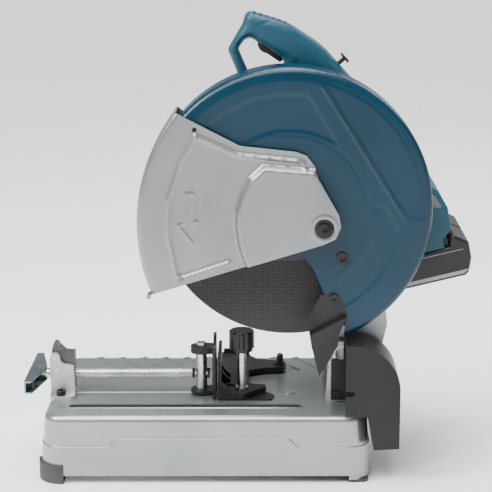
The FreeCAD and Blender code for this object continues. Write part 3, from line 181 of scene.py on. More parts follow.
# each finish: two tones, roughness range, patch and grain size, bump, metal, coat and specular
finishes = {
    "base_paint": {"tones": ((0.27, 0.29, 0.295), (0.33, 0.35, 0.355)), "rough": (0.24, 0.34), "patch": 9,
                   "grain": 900, "bump": (0.12, 0.0003), "metal": 0.75, "coat": 0.2},
    "guard_silver": {"tones": ((0.22, 0.23, 0.235), (0.28, 0.29, 0.295)), "rough": (0.26, 0.36), "patch": 7,
                     "grain": 1100, "bump": (0.1, 0.0003), "metal": 0.7, "coat": 0.15},
    "guard_blue": {"tones": ((0.001, 0.022, 0.042), (0.002, 0.028, 0.052)), "rough": (0.26, 0.36),
                   "specular": 0.3, "patch": 8,
                   "grain": 1000, "bump": (0.1, 0.0002), "metal": 0.0, "coat": 0.06},
    "teal_plastic": {"tones": ((0.004, 0.048, 0.078), (0.006, 0.062, 0.096)), "rough": (0.42, 0.55),
                     "specular": 0.35, "patch": 14,
                     "grain": 1600, "bump": (0.25, 0.0002), "metal": 0.0, "coat": 0.05},
    "black_plastic": {"tones": ((0.008, 0.008, 0.009), (0.014, 0.014, 0.015)), "rough": (0.3, 0.45),
                      "specular": 0.3, "patch": 20,
                      "grain": 1500, "bump": (0.2, 0.0002), "metal": 0.0, "coat": 0.1},
    "grey_plastic": {"tones": ((0.1, 0.11, 0.115), (0.16, 0.17, 0.175)), "rough": (0.4, 0.55), "patch": 30,
                     "grain": 1500, "bump": (0.2, 0.0002), "metal": 0.0, "coat": 0.0},
    "black_steel": {"tones": ((0.01, 0.01, 0.011), (0.018, 0.018, 0.02)), "rough": (0.32, 0.5),
                    "specular": 0.3, "patch": 22,
                    "grain": 700, "bump": (0.15, 0.0003), "metal": 0.3, "coat": 0.1},
    "dark_paint": {"tones": ((0.008, 0.009, 0.01), (0.013, 0.014, 0.016)), "rough": (0.38, 0.5),
                   "specular": 0.25, "patch": 12,
                   "grain": 800, "bump": (0.15, 0.0003), "metal": 0.0, "coat": 0.02},
    "black_cast": {"tones": ((0.012, 0.012, 0.013), (0.022, 0.022, 0.024)), "rough": (0.36, 0.6),
                   "specular": 0.3, "patch": 40,
                   "grain": 420, "bump": (0.35, 0.0006), "metal": 0.4, "coat": 0.0},
    "zinc": {"tones": ((0.5, 0.5, 0.48), (0.68, 0.68, 0.66)), "rough": (0.2, 0.36), "patch": 30,
             "grain": 600, "bump": (0.08, 0.0002), "metal": 1.0, "coat": 0.0},
    "steel": {"tones": ((0.4, 0.4, 0.41), (0.52, 0.52, 0.53)), "rough": (0.22, 0.4), "patch": 30,
              "grain": 700, "bump": (0.1, 0.0002), "metal": 1.0, "coat": 0.0},
    "cast_alloy": {"tones": ((0.4, 0.41, 0.42), (0.5, 0.51, 0.52)), "rough": (0.38, 0.55), "patch": 24,
                   "grain": 500, "bump": (0.3, 0.0004), "metal": 0.7, "coat": 0.0},
    "dark_bolt": {"tones": ((0.012, 0.012, 0.013), (0.03, 0.03, 0.032)), "rough": (0.28, 0.45), "patch": 60,
                  "grain": 900, "bump": (0.1, 0.0002), "metal": 0.7, "coat": 0.0},
    "rubber": {"tones": ((0.03, 0.03, 0.033), (0.045, 0.045, 0.048)), "rough": (0.6, 0.75), "patch": 25,
               "grain": 800, "bump": (0.3, 0.0003), "metal": 0.0, "coat": 0.0},
    "winding": {"tones": ((0.1, 0.04, 0.015), (0.22, 0.1, 0.04)), "rough": (0.3, 0.5), "patch": 120,
                "grain": 600, "bump": (0.4, 0.0004), "metal": 0.5, "coat": 0.0},
    "lever_grey": {"tones": ((0.055, 0.058, 0.062), (0.08, 0.083, 0.088)), "rough": (0.35, 0.5), "patch": 30,
                   "grain": 600, "bump": (0.2, 0.0003), "metal": 0.4, "coat": 0.0},
    "blue_zinc": {"tones": ((0.24, 0.3, 0.34), (0.42, 0.48, 0.52)), "rough": (0.16, 0.3), "patch": 22,
                  "grain": 500, "bump": (0.06, 0.0002), "metal": 0.95, "coat": 0.1},
    "label_navy": {"tones": ((0.006, 0.008, 0.02), (0.012, 0.016, 0.04)), "rough": (0.35, 0.5), "patch": 60,
                   "grain": 900, "bump": (0.1, 0.0002), "metal": 0.0, "coat": 0.0},
    "band_grey": {"tones": ((0.2, 0.22, 0.24), (0.27, 0.29, 0.31)), "rough": (0.3, 0.4), "patch": 30,
                  "grain": 900, "bump": (0.05, 0.0002), "metal": 0.1, "coat": 0.1},
}
coatRough, plainSpecular = 0.2, 0.5
made = {}


def finish(name):
    if name in made:
        return made[name]
    look = finishes[name]
    material, tree, shader = newMaterial(name)
    patches = objectNoise(tree, look["patch"])
    grain = objectNoise(tree, look["grain"], 1.5)
    tree.links.new(twoTone(tree, patches, *look["tones"]), shader.inputs["Base Color"])
    tree.links.new(spread(tree, patches, *look["rough"]), shader.inputs["Roughness"])
    shader.inputs["Metallic"].default_value = look["metal"]
    shader.inputs["Coat Weight"].default_value = look["coat"]
    shader.inputs["Coat Roughness"].default_value = coatRough
    shader.inputs["Specular IOR Level"].default_value = look.get("specular", plainSpecular)
    addBump(tree, shader, grain, *look["bump"])
    made[name] = material
    return material


clothLook = {"weave": 95.0, "wobble": 0.4, "grit": 900, "rough": (0.6, 0.85), "bump": (0.8, 0.0006),
             "tones": ((0.012, 0.012, 0.012), (0.075, 0.073, 0.07)), "span": (0.1, 0.6)}


def abrasiveCloth():
    # resin-bonded grit with the glass cloth's weave showing as rows of pits
    if "abrasive" in made:
        return made["abrasive"]
    material, tree, shader = newMaterial("abrasive")
    coords = addNode(tree, "ShaderNodeTexCoord")
    waves = []
    for axis in ("X", "Z"):
        wave = addNode(tree, "ShaderNodeTexWave", Scale=clothLook["weave"], Distortion=clothLook["wobble"])
        wave.bands_direction = axis
        tree.links.new(coords.outputs["Object"], wave.inputs["Vector"])
        waves.append(wave.outputs["Fac"])
    weave = addNode(tree, "ShaderNodeMath", operation="MULTIPLY")
    tree.links.new(waves[0], weave.inputs[0])
    tree.links.new(waves[1], weave.inputs[1])
    grit = objectNoise(tree, clothLook["grit"], 4.0)
    mixed = addNode(tree, "ShaderNodeMath", operation="MULTIPLY")
    tree.links.new(weave.outputs[0], mixed.inputs[0])
    tree.links.new(grit, mixed.inputs[1])
    tone = twoTone(tree, mixed.outputs[0], *clothLook["tones"], *clothLook["span"])
    tree.links.new(tone, shader.inputs["Base Color"])
    tree.links.new(spread(tree, grit, *clothLook["rough"]), shader.inputs["Roughness"])
    addBump(tree, shader, mixed.outputs[0], *clothLook["bump"])
    made["abrasive"] = material
    return material


def floorPaint():
    material, tree, shader = newMaterial("floorPaint")
    tone = twoTone(tree, objectNoise(tree, floorLook["patch"]), *floorLook["tones"])
    tree.links.new(tone, shader.inputs["Base Color"])
    shader.inputs["Roughness"].default_value = floorLook["rough"]
    return material


nodeFinish = {"nut_lever": "lever_grey", "vise_handle": "blue_zinc", "vise_holder": "cast_alloy"}


def paintNodes():
    slots = {part["node"]: part["material_slot"] for part in frame["record"]["subparts"]}
    for name, node in frame["nodes"].items():
        wanted = nodeFinish.get(name, slots[name])
        material = abrasiveCloth() if wanted == "abrasive" else finish(wanted)
        if not node.material_slots:
            node.data.materials.append(material)
        for holder in node.material_slots:
            holder.material = material


# mesh helpers

def place(name, vertices, faces, material, body, slotName, sharp=35):
    mesh = bpy.data.meshes.new(name)
    mesh.from_pydata([tuple(v) for v in vertices], [], faces)
    mesh.materials.append(material)
    mesh.validate()
    mesh.shade_smooth()
    mesh.set_sharp_from_angle(angle=math.radians(sharp))
    piece = bpy.data.objects.new(name, mesh)
    bpy.context.collection.objects.link(piece)
    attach(piece, body)
    return piece


def arcPoints(centre, radius, start, stop, count):
    angles = np.radians(np.linspace(start, stop, count))
    return [(centre[0] + radius * math.cos(a), centre[1] + radius * math.sin(a)) for a in angles]


def smoothLine(points, step):
    # an open Catmull-Rom curve through given points
    pts = [np.array(p, float) for p in points]
    result = []
    for k in range(len(pts) - 1):
        before, after = pts[max(k - 1, 0)], pts[min(k + 2, len(pts) - 1)]
        a, b = pts[k], pts[k + 1]
        pieces = max(1, int(np.linalg.norm(b - a) / step))
        for i in range(pieces):
            u = i / pieces
            result.append(0.5 * (2 * a + (b - before) * u + (2 * before - 5 * a + 4 * b - after) * u * u
                                 + (3 * a - before - 3 * b + after) * u ** 3))
    result.append(pts[-1])
    return [tuple(p) for p in result]


def densify(points, step):
    result = []
    for k, a in enumerate(points):
        b = points[(k + 1) % len(points)]
        pieces = max(1, int(math.ceil(math.dist(a, b) / step)))
        result += [(a[0] + (b[0] - a[0]) * i / pieces, a[1] + (b[1] - a[1]) * i / pieces)
                   for i in range(pieces)]
    return result


def rounded(corners, count=6):
    # corner = (x, z) or (x, z, radius)
    result = []
    for k, corner in enumerate(corners):
        if len(corner) == 2:
            result.append(corner)
            continue
        here = np.array(corner[:2], float)
        before = np.array(corners[k - 1][:2], float) - here
        after = np.array(corners[(k + 1) % len(corners)][:2], float) - here
        before /= np.linalg.norm(before)
        after /= np.linalg.norm(after)
        half = math.acos(np.clip(before @ after, -1, 1)) / 2
        reach = corner[2] / math.tan(half)
        middle = here + (before + after) / np.linalg.norm(before + after) * corner[2] / math.sin(half)
        first, last = here + before * reach - middle, here + after * reach - middle
        for i in range(count + 1):
            mixed = first * (1 - i / count) + last * (i / count)
            mixed *= corner[2] / np.linalg.norm(mixed)
            result.append(tuple(middle + mixed))
    return result


def inside(points, outline):
    found = np.zeros(len(points), bool)
    x, z = points[:, 0], points[:, 1]
    for (ax, az), (bx, bz) in zip(outline, outline[1:] + outline[:1]):
        crosses = (az > z) != (bz > z)
        if az != bz:
            found ^= crosses & (x < (bx - ax) * (z - az) / (bz - az) + ax)
    return found


def distance(points, line, closed=False):
    best = np.full(len(points), 1e9)
    pairs = list(zip(line, line[1:])) + ([(line[-1], line[0])] if closed else [])
    for a, b in pairs:
        a, b = np.array(a, float), np.array(b, float)
        along = b - a
        size = along @ along
        if size < 1e-12:
            continue
        t = np.clip(((points - a) @ along) / size, 0, 1)
        best = np.minimum(best, np.linalg.norm(points - a - t[:, None] * along, axis=1))
    return best


def ease(value):
    value = np.clip(value, 0, 1)
    return value * value * (3 - 2 * value)


def ridge(points, line, width, height, closed=False):
    return height * ease(1 - distance(points, line, closed) / width)


def plateau(points, outline, edge):
    signed = distance(points, outline, True) * np.where(inside(points, outline), 1, -1)
    return ease(signed / edge + 0.5)


def plate(outline, holes, step):
    # triangles that fill an outline, with a fine grid of points inside
    loops = [densify(outline, step)] + [densify(hole, step) for hole in holes]
    border = [p for loop in loops for p in loop]
    edges, first = [], 0
    for loop in loops:
        edges += [(first + i, first + (i + 1) % len(loop)) for i in range(len(loop))]
        first += len(loop)
    flat = np.array(border)
    low, high = flat.min(0), flat.max(0)
    rows = np.arange(low[1], high[1], step * 0.866)
    grid = np.array([(x + (step / 2 if r % 2 else 0), z) for r, z in enumerate(rows)
                     for x in np.arange(low[0], high[0], step)])
    keep = inside(grid, loops[0])
    for loop in loops[1:]:
        keep &= ~inside(grid, loop)
    for loop in loops:
        keep &= distance(grid, loop, True) > step * 0.5
    everything = border + [tuple(p) for p in grid[keep]]
    verts, _, faces, *_ = geometry.delaunay_2d_cdt([Vector(p) for p in everything], edges, [], 0, 1e-7)
    points = np.array([tuple(v) for v in verts])
    triangles = np.array([tuple(f) for f in faces if len(f) == 3])
    middle = points[triangles].mean(1)
    wanted = inside(middle, loops[0])
    for loop in loops[1:]:
        wanted &= ~inside(middle, loop)
    triangles = triangles[wanted]
    a, b, c = (points[triangles[:, k]] for k in range(3))
    turn = (b[:, 0] - a[:, 0]) * (c[:, 1] - a[:, 1]) - (b[:, 1] - a[:, 1]) * (c[:, 0] - a[:, 0])
    triangles = triangles[np.abs(turn) > 1e-9]
    turn = turn[np.abs(turn) > 1e-9]
    triangles[turn < 0] = triangles[turn < 0][:, ::-1]
    return points, triangles


def solidPlate(name, outline, holes, step, front, back, material, body, slotName, toPlace=onHead, sharp=35):
    # a closed solid between two height functions of (x, z); the front looks towards -y
    points, triangles = plate(outline, holes, step)
    nearY, farY = front(points), back(points)
    count = len(points)
    vertices = [toPlace(p[0], y, p[1]) for p, y in zip(points, nearY)]
    vertices += [toPlace(p[0], y, p[1]) for p, y in zip(points, farY)]
    faces = [tuple(t) for t in triangles] + [(t[2] + count, t[1] + count, t[0] + count) for t in triangles]
    seen = {}  # each triangle's edges in order; an edge on the rim has no twin the other way
    for t in triangles:
        for a, b in ((t[0], t[1]), (t[1], t[2]), (t[2], t[0])):
            seen[(a, b)] = True
    faces += [(b, a, a + count, b + count) for a, b in seen if (b, a) not in seen]
    faces = [tuple(int(i) for i in face) for face in faces]
    return place(name, vertices, faces, material, body, slotName, sharp)


# safety guard: pressed sheet with a domed middle, beads and a deep rim

safetyLook = {
    "pivot": (46, -19), "radius": 248, "front": -40, "sheet": 2, "edgeRound": 7, "rimBack": 18, "lip": 10,
    "arc": (142, 202), "domeHeight": 9.5, "domeEdge": 8, "step": 2.2, "corner": 3,
    "bead": (4.2, 3.0), "beadFade": 7, "arrowBead": (2.6, 1.2),  # each bead: half width, height
    "bolt": 6.2, "seat": 0.8, "seatRing": (20, 15),
    "pin": (-233, -94), "pinDepth": (-46, -30), "pinRadius": 0.0032,
    "rivet": (-170, 130), "rivetProfile": [(0.0, 3.2), (-1.2, 3.0), (-2.0, 1.8), (-2.2, 0.0)],
    "side": [(-111, 109), (-103, 108), (-38, 101), (-24, 96), (-13, 82), (-8, 66), (10, 34), (19, 18),
             (22, 3), (15, -14), (-2, -22)],
    "dome": [(-80, 82), (-12, 76), (-4, 64), (14, 34), (26, 20), (30, 0), (14, -30), (-29, -36), (-101, -56),
             (-107, -42), (-113, -20), (-116, 3), (-115, 22), (-108, 45), (-97, 66)],
    "topBead": [(-169, 122), (-118, 99), (-104, 96), (-35, 89), (-28, 86), (-25, 78)],
    "leftBead": [(-169, 122), (-190, 83), (-205, 38), (-206, -12), (-196, -64), (-190, -70)],
    "lowBead": [(-190, -70), (-126, -48)],
    "arrow": [(-181, 45), (-186, 5), (-193, 2), (-172, -24), (-168, 8), (-174, 6), (-172, 45)],
}


def safetyOutline():
    look = safetyLook
    return arcPoints((0, 0), look["radius"] - 0.3, look["arc"][1], look["arc"][0], 40) + look["side"]


def makeSafetyGuard():
    look = safetyLook
    px, pz = look["pivot"]
    arc = arcPoints((0, 0), look["radius"], look["arc"][0] - 4, look["arc"][1] + 4, 60)

    def lift(points):
        roundOff = look["edgeRound"]
        away = np.minimum(distance(points, arc), roundOff)
        fall = roundOff - np.sqrt(roundOff ** 2 - (roundOff - away) ** 2)
        height = look["domeHeight"] * plateau(points, look["dome"], look["domeEdge"])
        clear = 1 - plateau(points, look["dome"], look["beadFade"])
        for line in ("topBead", "leftBead", "lowBead"):
            height += ridge(points, look[line], *look["bead"]) * clear
        height += ridge(points, look["arrow"], *look["arrowBead"], True)
        radial = np.hypot(points[:, 0], points[:, 1])
        wide, narrow = look["seatRing"]
        height += look["seat"] * ease((wide - radial) / 3) - look["seat"] * ease((narrow - radial) / 2)
        return height - fall

    def front(points):
        return look["front"] - lift(points)

    def back(points):
        return front(points) + look["sheet"]

    def atPivot(x, y, z):
        return onHead(px + x, y, pz + z)

    holes = [arcPoints((0, 0), look["bolt"], 0, 345, 24)]
    panel = solidPlate("safety_guard_panel", safetyOutline(), holes, look["step"], front, back,
                       finish("guard_silver"), "safety", "guard_silver", atPivot, 40)
    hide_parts("safety_guard")
    makeSafetyRim(atPivot)
    (pinX, pinZ), (near, far) = look["pin"], look["pinDepth"]
    bar = {"Count": 1, "First End": atPivot(pinX, near, pinZ), "Second End": atPivot(pinX, far, pinZ),
           "Offset": Vector((0, 0, 0)), "Radius": look["pinRadius"]}
    repeatBars("safety_guard_corner_pin", bar, "guard_silver", "safety")
    latheAlongY("safety_guard_rivet", atPivot, look["rivet"], look["front"] + 0.5, look["rivetProfile"],
                "dark_bolt", "safety")


def makeSafetyRim(atPivot):
    look = safetyLook
    outer, sheet = look["radius"], look["sheet"]
    start = look["front"] + look["edgeRound"] - 1
    corner = look["corner"]
    profile = [(outer, start), (outer, look["rimBack"] - corner)]
    profile += [(outer - corner + corner * math.cos(a), look["rimBack"] - corner + corner * math.sin(a))
                for a in np.radians([30, 60, 90])]
    profile += [(outer - look["lip"], look["rimBack"]), (outer - look["lip"], look["rimBack"] - sheet),
                (outer - corner, look["rimBack"] - sheet), (outer - sheet, look["rimBack"] - corner),
                (outer - sheet, start)]
    angles = np.radians(np.linspace(look["arc"][0], look["arc"][1], 49))
    vertices = [atPivot(r * math.cos(a), y, r * math.sin(a)) for a in angles for r, y in profile]
    sweepFaces("safety_guard_rim", vertices, len(profile), len(angles), "guard_silver", "safety")


def sweepFaces(name, vertices, around, along, finishName, body, sharp=35, closed=False):
    faces = []
    for k in range(along if closed else along - 1):
        for i in range(around):
            a, b = k * around + i, k * around + (i + 1) % around
            step = around if k < along - 1 else -k * around
            faces.append((b, a, a + step, b + step))
    if not closed:
        last = range((along - 1) * around, along * around)
        faces += [tuple(range(around)), tuple(last)[::-1]]
    piece = place(name, vertices, faces, finish(finishName), body, finishName, sharp)
    return facesOut(piece)


def facesOut(piece):
    mesh = bmesh.new()
    mesh.from_mesh(piece.data)
    bmesh.ops.recalc_face_normals(mesh, faces=mesh.faces)
    mesh.to_mesh(piece.data)
    mesh.free()
    return piece


def latheAlongY(name, toPlace, centre, baseY, profile, finishName, body, sides=32):
    # profile is (y, radius) from the base outwards, ending at radius 0
    vertices, faces = [], []
    rings = [p for p in profile if p[1] > 0]
    for y, radius in rings:
        for a in np.linspace(0, 2 * math.pi, sides, endpoint=False):
            x, z = centre[0] + radius * math.cos(a), centre[1] + radius * math.sin(a)
            vertices.append(toPlace(x, baseY + y, z))
    for k in range(len(rings) - 1):
        for i in range(sides):
            a, b = k * sides + i, k * sides + (i + 1) % sides
            faces.append((a, b, b + sides, a + sides))
    faces.append(tuple(range(sides)))
    faces.append(tuple(range((len(rings) - 1) * sides, len(rings) * sides)))
    return facesOut(place(name, vertices, faces, finish(finishName), body, finishName))


# wheel guard: a pressed skin over the drum's front, with panels, a chord step and a pivot dome

guardLook = {
    "front": -31, "skin": 1.7, "thinnest": 0.3, "sunk": 0.4, "reach": 190.4, "flat": 181, "edgeRound": 10,
    "low": -62.5, "high": 138, "step": 2.8,
    "inward": [(-50, 34), (-54, 16), (-54, -4), (-50, -22), (-42, -38), (16, -56), (33, -79), (48, -114),
               (70, -136), (76, -150)],
    "chord": [(43, 166), (152, -6), (160, -9), (188, -9)],
    "beyondChord": [(196, 60), (150, 130), (80, 180)],
    "upperDepth": 1.2, "lowerDepth": 1.0, "beyondDepth": 0.5, "chordBead": (3.4, 2.2),
    "lineRadius": 104, "line": (2.6, 0.6),
    "domeCentre": (52, -19), "domeRadius": 22, "domeHeight": 5, "domeEdge": 9,
    "bolts": ((71, -63), (60, -118)), "boltHole": 3.2,
}


def makeGuardSkin():
    look = guardLook
    outline = arcPoints((0, 0), look["reach"], look["low"], look["high"], 90) + look["inward"]
    upper = (arcPoints((0, 0), 156, 140, 82, 26) + [(27, 150), (60, 96)]
             + arcPoints((0, 0), 108, 56, 124, 22))
    lower = ([(112, 8), (126, 10), (146, -26), (143, -45)] + arcPoints((0, 0), 150, -18, -62, 14)
             + arcPoints((0, 0), 118, -58, -2, 14))
    circle = arcPoints((0, 0), look["lineRadius"], -55, 100, 60)
    chord = look["chord"]
    beyond = chord + look["beyondChord"]

    def fall(points):
        roundOff = look["edgeRound"]
        past = np.clip(np.hypot(points[:, 0], points[:, 1]) - look["flat"], 0, roundOff - 0.3)
        return roundOff - np.sqrt(roundOff ** 2 - past ** 2)

    def front(points):
        height = np.full(len(points), look["skin"])
        height -= look["upperDepth"] * plateau(points, upper, 4.5)
        height -= look["lowerDepth"] * plateau(points, lower, 5)
        height += ridge(points, chord[:2], *look["chordBead"])
        height -= look["beyondDepth"] * plateau(points, beyond, 5)
        height -= ridge(points, circle, *look["line"])
        inFromFlat = look["flat"] - np.hypot(points[:, 0], points[:, 1])
        height -= (look["skin"] - look["thinnest"]) * ease(1 - inFromFlat / 7)
        away = np.hypot(points[:, 0] - look["domeCentre"][0], points[:, 1] - look["domeCentre"][1])
        dome = look["domeHeight"] * ease((look["domeRadius"] - away) / look["domeEdge"])
        return look["front"] + fall(points) - np.maximum(np.maximum(height, dome), look["thinnest"])

    def back(points):
        return look["front"] + fall(points) + look["sunk"]

    holes = [arcPoints(centre, look["boltHole"], 0, 345, 16) for centre in look["bolts"]]
    solidPlate("wheel_guard_skin", outline, holes, look["step"], front, back, finish("guard_blue"), "head",
               "guard_blue", onHead, 50)


# handle: a full, rounded grip with a thin front strut

handleLook = {
    "middle": 45, "half": 19, "roundOver": 14, "step": 2.6,
    "outer": [(-44, 112), (-66, 167, 10), (-82, 206, 7), (-62, 240, 30), (-57, 258, 9), (-4, 243, 110),
              (44, 212, 110), (87, 164, 60), (128, 96, 20), (118, 68, 8), (42, 64, 6)],
    "hole": [(-40, 142), (-53, 172, 16), (-68, 207, 7), (-55, 224, 10), (-8, 193, 8), (-5, 168, 6),
             (-20, 152, 6)],
    "ribCount": 5, "rib": (2.2, 1.7), "groove": (2.2, 1.5),  # half width, height
    "seam": [(-44, 236), (-30, 243), (-14, 241), (6, 226), (28, 212), (52, 186), (56, 178)],
    "screws": ((-52, 242), (30, 200), (70, 150), (100, 90)),
    "screwProfile": [(0.0, 2.8), (0.8, 2.6), (1.0, 1.2)], "screwSink": 0.2,
}


def handleHalfWidth(points):
    look = handleLook
    outer = rounded(look["outer"])
    hole = rounded(look["hole"])
    away = np.minimum(distance(points, outer, True), distance(points, hole, True))
    strut = ease((-38 - points[:, 0]) / 16) * ease((226 - points[:, 1]) / 18)
    grip = ease((points[:, 1] - 150) / 50)
    radius = look["roundOver"] * (1 - 0.5 * strut) * (0.55 + 0.45 * grip)
    flat = look["half"] - 7 * strut - radius
    share = np.clip(away / radius, 0, 1)
    return flat + radius * np.sqrt(1 - (1 - share) ** 2)


def makeHandle():
    look = handleLook
    ribs = [[(-34 - 2.6 * k, 229 - 4.2 * k), (10 - 3.4 * k, 196 - 3.6 * k)] for k in range(look["ribCount"])]
    seam = smoothLine(look["seam"], 4)

    def front(points):
        half = handleHalfWidth(points)
        for rib in ribs:
            half = half + ridge(points, rib, *look["rib"])
        half = half - ridge(points, seam, *look["groove"])
        return look["middle"] - half

    def back(points):
        return look["middle"] + handleHalfWidth(points)

    body = solidPlate("handle_grip", rounded(look["outer"]), [rounded(look["hole"])], look["step"], front,
                      back, finish("teal_plastic"), "head", "teal_plastic", onHead, 60)
    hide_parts("handle_near_half", "handle_far_half", "handle_screws")
    farFace = look["middle"] + look["half"] - look["screwSink"]
    for k, spot in enumerate(look["screws"]):
        latheAlongY("handle_screw_head_%d" % k, onHead, spot, farFace, look["screwProfile"], "dark_bolt",
                    "head", 20)


# ribs made by one node tree: a rounded bar, repeated along an offset

def barTree(material):
    tree = bpy.data.node_groups.new("repeatedBars", "GeometryNodeTree")
    tree.interface.new_socket("Geometry", in_out="OUTPUT", socket_type="NodeSocketGeometry")
    for name, kind in (("Count", "NodeSocketInt"), ("First End", "NodeSocketVector"),
                       ("Second End", "NodeSocketVector"), ("Offset", "NodeSocketVector"),
                       ("Radius", "NodeSocketFloat")):
        tree.interface.new_socket(name, in_out="INPUT", socket_type=kind)
    nodes, links = tree.nodes, tree.links
    given = nodes.new("NodeGroupInput")
    out = nodes.new("NodeGroupOutput")
    bar = nodes.new("GeometryNodeCurvePrimitiveLine")
    ring = nodes.new("GeometryNodeCurvePrimitiveCircle")
    ring.inputs["Resolution"].default_value = 10
    tube = nodes.new("GeometryNodeCurveToMesh")
    tube.inputs["Fill Caps"].default_value = True
    row = nodes.new("GeometryNodeMeshLine")
    copies = nodes.new("GeometryNodeInstanceOnPoints")
    real = nodes.new("GeometryNodeRealizeInstances")
    paint = nodes.new("GeometryNodeSetMaterial")
    paint.inputs["Material"].default_value = material
    links.new(given.outputs["First End"], bar.inputs["Start"])
    links.new(given.outputs["Second End"], bar.inputs["End"])
    links.new(given.outputs["Radius"], ring.inputs["Radius"])
    links.new(bar.outputs["Curve"], tube.inputs["Curve"])
    links.new(ring.outputs["Curve"], tube.inputs["Profile Curve"])
    links.new(given.outputs["Count"], row.inputs["Count"])
    links.new(given.outputs["Offset"], row.inputs["Offset"])
    links.new(row.outputs["Mesh"], copies.inputs["Points"])
    links.new(tube.outputs["Mesh"], copies.inputs["Instance"])
    links.new(copies.outputs["Instances"], real.inputs["Geometry"])
    links.new(real.outputs["Geometry"], paint.inputs["Geometry"])
    links.new(paint.outputs["Geometry"], out.inputs["Geometry"])
    return tree


def repeatBars(name, values, finishName, body):
    carrier = bpy.data.objects.new(name + "Carrier", bpy.data.meshes.new(name + "Carrier"))
    bpy.context.collection.objects.link(carrier)
    modifier = carrier.modifiers.new("bars", "NODES")
    modifier.node_group = barTree(finish(finishName))
    for item in modifier.node_group.interface.items_tree:
        if item.in_out == "INPUT" and item.name in values:
            modifier[item.identifier] = values[item.name]
    result = bpy.data.meshes.new_from_object(carrier.evaluated_get(bpy.context.evaluated_depsgraph_get()))
    bpy.data.objects.remove(carrier)
    result.name = name
    result.shade_smooth()
    result.set_sharp_from_angle(angle=math.radians(50))
    piece = bpy.data.objects.new(name, result)
    bpy.context.collection.objects.link(piece)
    facesOut(piece)
    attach(piece, body)
    return piece


# every bar's values are the node tree's named inputs, in metres
gripRibs = {"Count": 6, "First End": onHead(-46, 37, 254.6), "Second End": onHead(-46, 53, 254.6),
            "Offset": Vector((8.2, 0, -2.7)) / 1000, "Radius": 0.0016}
baseRibs = {"Count": 11, "First End": onBase(-168, 122, 0.2), "Second End": onBase(-132, 66, 0.2),
            "Offset": Vector((0.033, 0, 0)), "Radius": 0.0022}
# the bright zinc studs at the rib ends are painted highlights: light metal dots standing in for the glints
# on the base's top near its far edge
paintedHighlightStuds = {"Count": 11, "First End": onBase(-172, 118, -1.5), "Second End": onBase(-172, 118, 1.3),
             "Offset": Vector((0.033, 0, 0)), "Radius": 0.0032}
longBead = {"Count": 1, "First End": onBase(-186, -31, -0.6), "Second End": onBase(-24, -31, -0.6),
            "Offset": Vector((0, 0, 0)), "Radius": 0.0019}


def makeRepeats():
    repeatBars("grip_top_ribs", gripRibs, "teal_plastic", "head")
    repeatBars("base_top_ribs", baseRibs, "base_paint", "root")
    # painted highlights: bright zinc studs where the base's top only shows glints at the rib ends
    repeatBars("base_top_painted_highlight_studs", paintedHighlightStuds, "zinc", "root")


# base: a raised lip round the wheel slot and a long pressed bead

lipLook = {"slot": (-191, 134, -94, -82), "corner": 5.9, "wide": (4, 2), "outerCorner": 7, "height": 0.9,
           "foot": 0.6, "step": 2.0}


def slotLoop(left, right, near, far, corner):
    return rounded([(left, near, corner), (right, near, corner), (right, far, corner), (left, far, corner)])


def makeBaseTrim():
    look = lipLook
    left, right, near, far = look["slot"]
    longWay, wideWay = look["wide"]

    def atTop(x, up, y):
        return onBase(x, y, up)

    outer = slotLoop(left - longWay, right + longWay, near - wideWay, far + wideWay, look["outerCorner"])
    inner = slotLoop(left, right, near, far, look["corner"])

    def top(points):
        return look["height"] * ease(distance(points, outer, True) / 2)

    def bottom(points):
        return np.full(len(points), -look["foot"])

    piece = solidPlate("wheel_slot_lip", outer, [inner], look["step"], top, bottom, finish("base_paint"),
                       "root", "base_paint", atTop)
    facesOut(piece)
    repeatBars("base_long_bead", longBead, "base_paint", "root")


# a rounded bead that follows the top of the base's proud lower band, all the way round
bandLook = {"halfX": 225.3, "halfY": 130.9, "corner": 29, "height": 51.2, "rise": 11.5, "from": -133,
            "to": 126, "radius": 1.5, "draft": 0.6, "sides": 8}


def makeBandBead():
    look = bandLook
    hx, hy = look["halfX"], look["halfY"]
    r = look["corner"]
    loop = densify(rounded([(-hx, -hy, r), (hx, -hy, r), (hx, hy, r), (-hx, hy, r)], 10), 3.0)
    line = []
    for x, y in loop:
        up = 0.0
        if abs(y) > hy - 4:
            up = min(max((x - look["from"]) / look["rise"], 0), 1)
            up *= min(max((look["to"] - x) / look["rise"], 0), 1)
        line.append(Vector((x, y * (1 - look["draft"] * up / hy), look["height"] + look["rise"] * up)))
    vertices, sides = [], look["sides"]
    for k, point in enumerate(line):
        along = (line[(k + 1) % len(line)] - line[k - 1]).normalized()
        across = Vector((along.y, -along.x, 0)).normalized()
        up = across.cross(along)
        for a in np.linspace(0, 2 * math.pi, sides, endpoint=False):
            spoke = across * math.cos(a) + up * math.sin(a)
            vertices.append((point + spoke * look["radius"]) / 1000)
    sweepFaces("base_band_bead", vertices, sides, len(line), "base_paint", "root", closed=True, sharp=60)


# vise screw with its fine rolled thread

threadLook = {"plain": 22, "end": 25, "radius": 7, "root": 6.0, "thin": 4, "pitch": 2.5, "chamfer": 0.8,
              "flanks": (0.7, 1.3, 1.8, 2.4)}


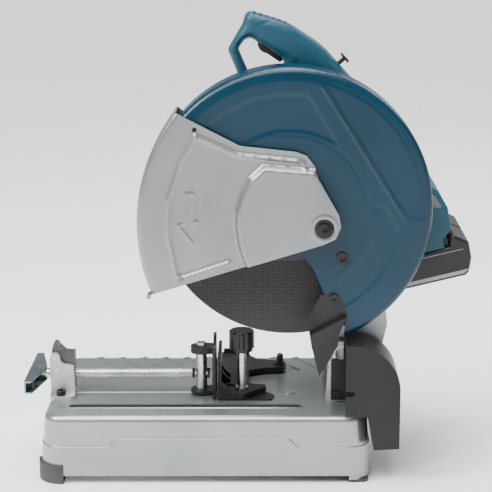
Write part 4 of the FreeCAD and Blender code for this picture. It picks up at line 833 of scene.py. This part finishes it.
def makeFineThread():
    look = threadLook
    low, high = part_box("vise_screw")
    middle = (low + high) / 2
    length = (high.x - low.x) * 1000

    def atScrew(across, along, up):
        return Vector((low.x + along / 1000, middle.y + across / 1000, middle.z + up / 1000))

    radius, root, stop = look["radius"], look["root"], length - look["end"]
    rootUp, crestOn, crestOff, rootDown = look["flanks"]
    profile = [(0, radius - look["chamfer"]), (look["chamfer"], radius), (look["plain"], radius),
               (look["plain"], root)]
    for turn in range(int((length - look["plain"] - look["end"]) / look["pitch"])):
        start = look["plain"] + turn * look["pitch"]
        profile += [(start + rootUp, root), (start + crestOn, radius), (start + crestOff, radius),
                    (start + rootDown, root)]
    profile += [(stop, root), (stop, look["thin"]), (length, look["thin"])]
    screw = latheAlongY("vise_screw_thread", atScrew, (0, 0), 0, profile, "zinc", "screw")
    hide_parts("vise_screw")


# wheel label

labelLook = {"outer": 75, "inner": 42, "front": -1.9, "thick": 0.6, "step": 8}


def makeWheelLabel():
    look = labelLook
    edge, bore = arcPoints((0, 0), look["outer"], 0, 355, 72), arcPoints((0, 0), look["inner"], 0, 350, 40)

    def front(points):
        return np.full(len(points), look["front"])

    def back(points):
        return np.full(len(points), look["front"] + look["thick"])

    solidPlate("wheel_label", edge, [bore], look["step"], front, back, finish("label_navy"), "wheel",
               "abrasive")


# pack bands

packLook = {"origin": (250, -101), "tilt": 13.8, "near": 22.5, "proud": 0.25, "sunk": 0.6, "step": 4,
            "band": [(-104, 4), (-8, 4), (2, 9), (-104, 9)],
            "line": [(-104, 37.6), (-2, 37.6), (-2, 38.4), (-104, 38.4)]}


def onPack(x, y, z):
    tilt = math.radians(packLook["tilt"])
    px, pz = packLook["origin"]
    return onHead(px + x * math.cos(tilt) - z * math.sin(tilt), y,
                  pz + x * math.sin(tilt) + z * math.cos(tilt))


def makePackBands():
    look = packLook

    def front(points):
        return np.full(len(points), look["near"] - look["proud"])

    def back(points):
        return np.full(len(points), look["near"] + look["sunk"])

    for name, outline in (("pack_band", look["band"]), ("pack_line", look["line"])):
        solidPlate(name, outline, [], look["step"], front, back, finish("band_grey"), "pack_near",
                   "grey_plastic", onPack)


# build

makeCamera()
makeLights()
makeFloor()
paintNodes()
print("nodes painted")
makeSafetyGuard()
makeGuardSkin()
print("guards made")
makeHandle()
makeRepeats()
print("handle and ribs made")
makeBaseTrim()
makeBandBead()
makeFineThread()
makeWheelLabel()
makePackBands()
print("trim made")
